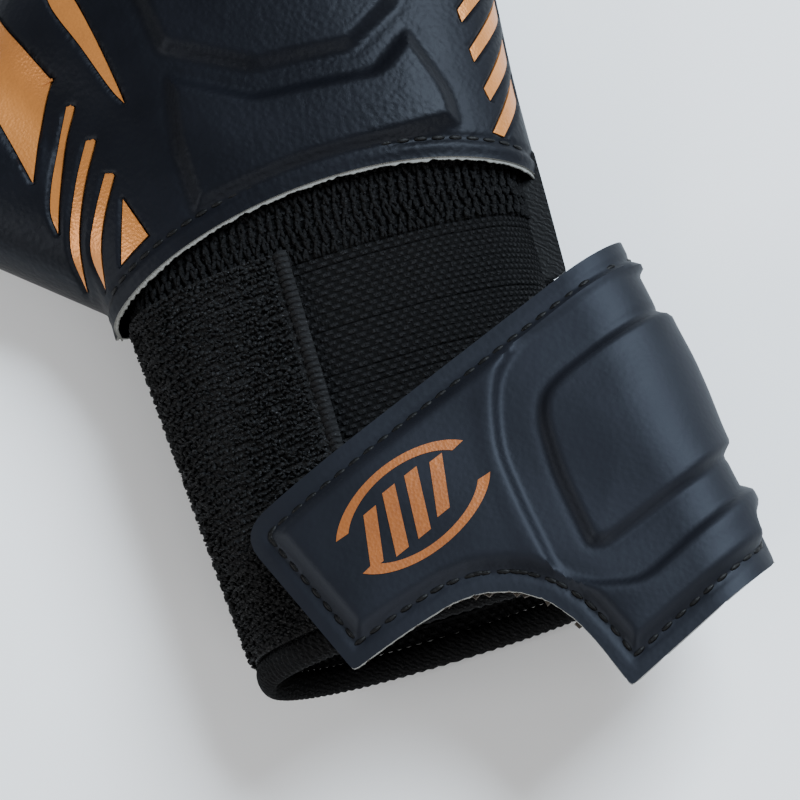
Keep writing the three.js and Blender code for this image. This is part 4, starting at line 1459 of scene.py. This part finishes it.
def dropped(form, x, y):
    """Places on a form's upper side under given points, with the normals there."""
    tree = BVHTree.FromPolygons([v.co for v in form.data.vertices],
                                [tuple(p.vertices) for p in form.data.polygons])
    places, normals = [], []
    for px, py in zip(x, y):
        hit, normal, _, _ = tree.ray_cast(Vector((px * MM, py * MM, 0.2)), Vector((0, 0, -1)))
        if hit is None:
            hit, normal, _, _ = tree.find_nearest(Vector((px * MM, py * MM, SEAM_Z * MM)))
        places.append(np.array(hit) / MM)
        normals.append(np.array(normal) * (1 if normal[2] > 0 else -1))
    return np.array(places), np.array(normals)


class GLOVE_OT_back(GloveOperator, bpy.types.Operator):
    """Models the embossed skin of the back of the hand and its hem stitches"""

    bl_idname = "glove.back"
    bl_label = "Back of the hand"

    def build(self, look):
        obj = build_back()
        dress(obj, made("foam_skin"), made("cut_edge"))
        thicken(obj, look.skin_thickness / MM, rim=1)
        keep_edge(obj, lambda at: at[:, 1] < hem_line(at[:, 0]) + 1)
        shade(obj, 40)
        finish_piece(obj, "hand", "backhand_foam", "backhand_shell", "knuckle_pad", "wrist_pad")
        edge = build_raw_edge()
        dress(edge, made("cut_edge"))
        finish_piece(edge, "hand", "backhand_foam")
        row = hem_stitches(look)
        dress(row, made("thread"))
        finish_piece(row, "hand", "woven_tape")


def leaf_strips():
    """The thumb side's inlays as two edges that run from one end to the other."""
    strips = [(spline(right, 6), spline(left, 6)) for right, left in LEAVES]
    a, b, c = (np.array(p, float) for p in TRIANGLE)
    return [*strips, (np.array([a, b]), np.array([a, c]))]


def between(edges, u, v):
    """Places u of the way across and v of the way along a strip between two edges."""
    sides = [np.stack([np.interp(v, np.linspace(0, 1, len(edge)), edge[:, k]) for k in (0, 1)], 1)
             for edge in edges]
    return sides[0] + (sides[1] - sides[0]) * u[:, None]


class GLOVE_OT_inlays(GloveOperator, bpy.types.Operator):
    """Lays the copper inlays into their windows"""

    bl_idname = "glove.inlays"
    bl_label = "Copper inlays"

    def build(self, look):
        form = build_back(relief=False, cells=(200, 120))

        def lay_leaf(edges):
            def place(u, v):
                at = between(edges, u, v)
                where, normal = dropped(form, at[:, 0], at[:, 1])
                return tuple((where - normal * 0.45).T)

            return panel("inlay", 5, 34, place, size=(8, 40))

        def lay_bar(edges):
            def place(u, v):
                at = between(edges, u, v)
                x, y, z = hand_at(BACK_TABLE, share_at(at[:, 0], at[:, 1]), at[:, 1])
                inwards = unit(np.stack([30 - x, 20 - z], 1)) * 0.45
                return x + inwards[:, 0], y, z + inwards[:, 1]

            return panel("inlay", 5, 34, place, size=(4, 20))

        sides = {"thumb": [lay_leaf(edges) for edges in leaf_strips()],
                 "little": [lay_bar(edges) for edges in bar_edges()]}
        bpy.data.objects.remove(form)
        for side, strips in sides.items():
            for strip in strips:
                face_up(strip)
            obj = joined(f"copper_inlays_{side}", strips)
            thicken(obj, 0.6)
            dress(obj, made("copper_foil"))
            shade(obj, 40)
            finish_piece(obj, "hand", "copper_foil", f"copper_underlay_{side}")


class GLOVE_OT_palm(GloveOperator, bpy.types.Operator):
    """Models the palm's latex and the thin lining inside the hand"""

    bl_idname = "glove.palm"
    bl_label = "Palm and lining"

    def build(self, look):
        obj = build_palm()
        dress(obj, made("palm_latex"), made("cut_edge"))
        thicken(obj, 1.8, rim=1)
        keep_edge(obj, lambda at: at[:, 1] < hem_line(at[:, 0]) + 1)
        shade(obj, 40)
        finish_piece(obj, "hand", "palm_latex", "palm_latex")
        lining = build_linings()
        dress(lining, made("lining"))
        finish_piece(lining, "hand", "lining_cloth", "back_lining", "palm_lining")


class GLOVE_OT_fingers(GloveOperator, bpy.types.Operator):
    """Models the four fingers and the thumb, each split in two near its middle joint"""

    bl_idname = "glove.fingers"
    bl_label = "Fingers and thumb"

    def build(self, look):
        for name in (*FINGERS, "thumb"):
            for part in ("base", "tip"):
                bend = finger_bend(name, part)
                for half, material, slot in (("back", "foam_skin", "backhand_foam"),
                                             ("palm", "palm_latex", "palm_latex")):
                    obj = build_finger_half(name, half, part)
                    dress(obj, made(material))
                    finish_piece(obj, bend, slot, f"{name}_{part}_{half}")
                row = finger_seam(name, part)
                dress(row, made("thread"))
                finish_piece(row, bend, "woven_tape")


class GLOVE_OT_cuff(GloveOperator, bpy.types.Operator):
    """Models the knitted cuff, its gathered rows, its rolled end and the side seam"""

    bl_idname = "glove.cuff"
    bl_label = "Knitted cuff"

    def build(self, look):
        knit = build_knit()
        dress(knit, made("knit"))
        finish_piece(knit, "hand", "elastic_knit", "knit_cuff")
        gather = build_chunky()
        dress(gather, made("gather"))
        finish_piece(gather, "hand", "elastic_knit")
        hem = build_hem()
        dress(hem, made("gather"))
        finish_piece(hem, "hand", "elastic_knit", "cuff_hem")
        fin = build_flange()
        dress(fin, made("thread"))
        finish_piece(fin, "hand", "woven_tape", "side_seam_flange")


class GLOVE_OT_loop_band(GloveOperator, bpy.types.Operator):
    """Models the band of loops that the strap fastens to"""

    bl_idname = "glove.loop_band"
    bl_label = "Loop band"

    def build(self, look):
        band = build_loop_band()
        dress(band, made("loops"))
        finish_piece(band, "hand", "loop_pile", "loop_band")
        loops = build_loops()
        dress(loops, made("loops"))
        finish_piece(loops, "hand", "loop_pile")
        tape = build_edge_tape()
        dress(tape, made("tape"))
        finish_piece(tape, "hand", "woven_tape", "loop_edge_tape")


def strap_bend():
    """The bodies the strap joins, and where it bends over the fold."""
    towards = np.array((FOLD_IN[0] * 0.3, FOLD_IN[1] * 0.3, 1.0))
    towards /= np.linalg.norm(towards)
    return "strap_root_part", "strap_flap", FOLD_AT - towards * 2, FOLD_AT + towards * 8


def strap_stitches(look):
    """Rows of stitches inside the strap's edges."""
    cut = strap_cut()
    dense = np.vstack([a + (b - a) * np.linspace(0, 1, 12, endpoint=False)[:, None]
                       for a, b in zip(cut, np.roll(cut, -1, axis=0))])
    line = shrunk(dense, 4.3)
    inner = -edge_distance(line[:, 0], line[:, 1], cut)
    inward = COS * line[:, 0] - SIN * line[:, 1]
    keep = (inner > 3.9) & (inward > EXTRA + 10)
    start = int(np.argmax(~keep))
    order = np.roll(np.arange(len(line)), -start)
    line = line[order][keep[order]]
    lift = strap_relief(line[:, 0], line[:, 1], cut) + 0.1
    low = on_strap(line, lift)
    return stitch_row("strap_stitches", low, unit(on_strap(line, lift + 1) - low),
                      look.stitch_length / MM + STITCH_GAP, look.stitch_length / MM, STITCH_WIDTH)


class GLOVE_OT_strap(GloveOperator, bpy.types.Operator):
    """Models the folded strap with its pads, lining, hooks, print and root"""

    bl_idname = "glove.strap"
    bl_label = "Strap"

    def build(self, look):
        bend = strap_bend()
        skin = build_strap()
        finish_piece(skin, bend, "strap_foam", "strap_shell", "strap_pad", "strap_tab_pad",
                     "strap_root_band")
        row = strap_stitches(look)
        dress(row, made("thread"))
        finish_piece(row, bend, "woven_tape")
        lining = strap_layer("strap_lining_cloth", shrunk(strap_cut(6), 0.5), -1.75, 0.8)
        dress(lining, made("lining"))
        finish_piece(lining, bend, "lining_cloth", "strap_lining")
        patch, stems = build_hooks()
        for obj in (patch, stems):
            dress(obj, made("hooks"))
        finish_piece(patch, "strap_flap", "hook_pile", "hook_patch")
        finish_piece(stems, "strap_flap", "hook_pile")
        mark = build_mark()
        dress(mark, made("copper_print"))
        finish_piece(mark, "strap_flap", "copper_print", "strap_emblem")
        root = build_root()
        dress(root, made("tape"))
        finish_piece(root, "hand", "woven_tape", "strap_root_tape")


def soft_light(name, place, target, size, power_w, colour=(1, 1, 1)):
    deselect_all()
    bpy.ops.object.light_add(type="AREA", location=place)
    light = bpy.context.active_object
    light.name = name
    light.data.size, light.data.energy, light.data.color = size, power_w, colour
    aim = Vector(target) - Vector(place)
    light.rotation_euler = aim.to_track_quat("-Z", "Y").to_euler()
    return light


class GLOVE_OT_stage(GloveOperator, bpy.types.Operator):
    """Sets the pale floor, the soft light and the camera"""

    bl_idname = "glove.stage"
    bl_label = "Stage"

    def build(self, look):
        deselect_all()
        bpy.ops.mesh.primitive_plane_add(size=8, location=(0, 0, -0.0004))
        floor = bpy.context.active_object
        floor.name = "floor"
        pale = bpy.data.materials.new("floor_pale")
        pale.use_nodes = True
        shader = next(n for n in pale.node_tree.nodes if n.type == "BSDF_PRINCIPLED")
        shader.inputs["Base Color"].default_value = (0.93, 0.93, 0.93, 1)
        shader.inputs["Roughness"].default_value = 0.9
        floor.data.materials.append(pale)
        world = bpy.data.worlds.new("pale_room")
        world.use_nodes = True
        world.node_tree.nodes["Background"].inputs["Color"].default_value = (0.95, 0.97, 1.0, 1)
        world.node_tree.nodes["Background"].inputs["Strength"].default_value = 0.25
        bpy.context.scene.world = world
        target = np.array((4.5, -89.0, 20.0)) * MM
        lights = (
            soft_light("key", (0.75, 0.3, 0.9), target, 0.6, 36, (0.78, 0.89, 1.0)),
            soft_light("fill", (-1.1, -0.2, 0.6), target, 0.7, 10),
            soft_light("front", (0.2, -1.2, 0.5), target, 0.7, 8),
        )
        rise, roll, distance = math.radians(70), math.radians(17), 800 * MM
        deselect_all()
        bpy.ops.object.camera_add()
        camera = bpy.context.active_object
        camera.name = "camera"
        forward = Vector((0, math.cos(rise), -math.sin(rise)))
        level_up = Vector((0, math.sin(rise), math.cos(rise)))
        right = Vector((math.cos(roll), 0, 0)) - level_up * math.sin(roll)
        up = Vector((math.sin(roll), 0, 0)) + level_up * math.cos(roll)
        camera.matrix_world = frame_matrix(right, up, -forward, Vector(target) - forward * distance)
        camera.data.sensor_width, camera.data.lens = 36, 171.4
        camera.data.dof.use_dof = False
        bpy.context.scene.camera = camera


def frame_matrix(right, up, back, place):
    columns = Matrix((right, up, back)).transposed().to_4x4()
    columns.translation = place
    return columns


class GLOVE_PT_panel(bpy.types.Panel):
    bl_idname = "GLOVE_PT_panel"
    bl_label = "Goalkeeper glove"
    bl_space_type = "VIEW_3D"
    bl_region_type = "UI"
    bl_category = "Glove"

    def draw(self, context):
        look = context.scene.glove_look
        for key in ("skin_colour", "copper_colour", "knit_colour", "edge_colour",
                    "skin_thickness", "stitch_length"):
            self.layout.prop(look, key)
        for operator in PIECES:
            self.layout.operator(operator.bl_idname)


PIECES = (GLOVE_OT_materials, GLOVE_OT_back, GLOVE_OT_inlays, GLOVE_OT_palm, GLOVE_OT_fingers,
          GLOVE_OT_cuff, GLOVE_OT_loop_band, GLOVE_OT_strap, GLOVE_OT_stage)
CLASSES = (GLOVE_PG_look, *PIECES, GLOVE_PT_panel)


def register():
    for cls in CLASSES:
        bpy.utils.register_class(cls)
    bpy.types.Scene.glove_look = PointerProperty(type=GLOVE_PG_look)


def unregister():
    del bpy.types.Scene.glove_look
    for cls in reversed(CLASSES):
        bpy.utils.unregister_class(cls)


def main():
    register()
    bpy.ops.glove.materials()
    bpy.ops.glove.back()
    bpy.ops.glove.inlays()
    bpy.ops.glove.palm()
    bpy.ops.glove.fingers()
    bpy.ops.glove.cuff()
    bpy.ops.glove.loop_band()
    bpy.ops.glove.strap()
    bpy.ops.glove.stage()


if __name__ == "__main__":
    main()
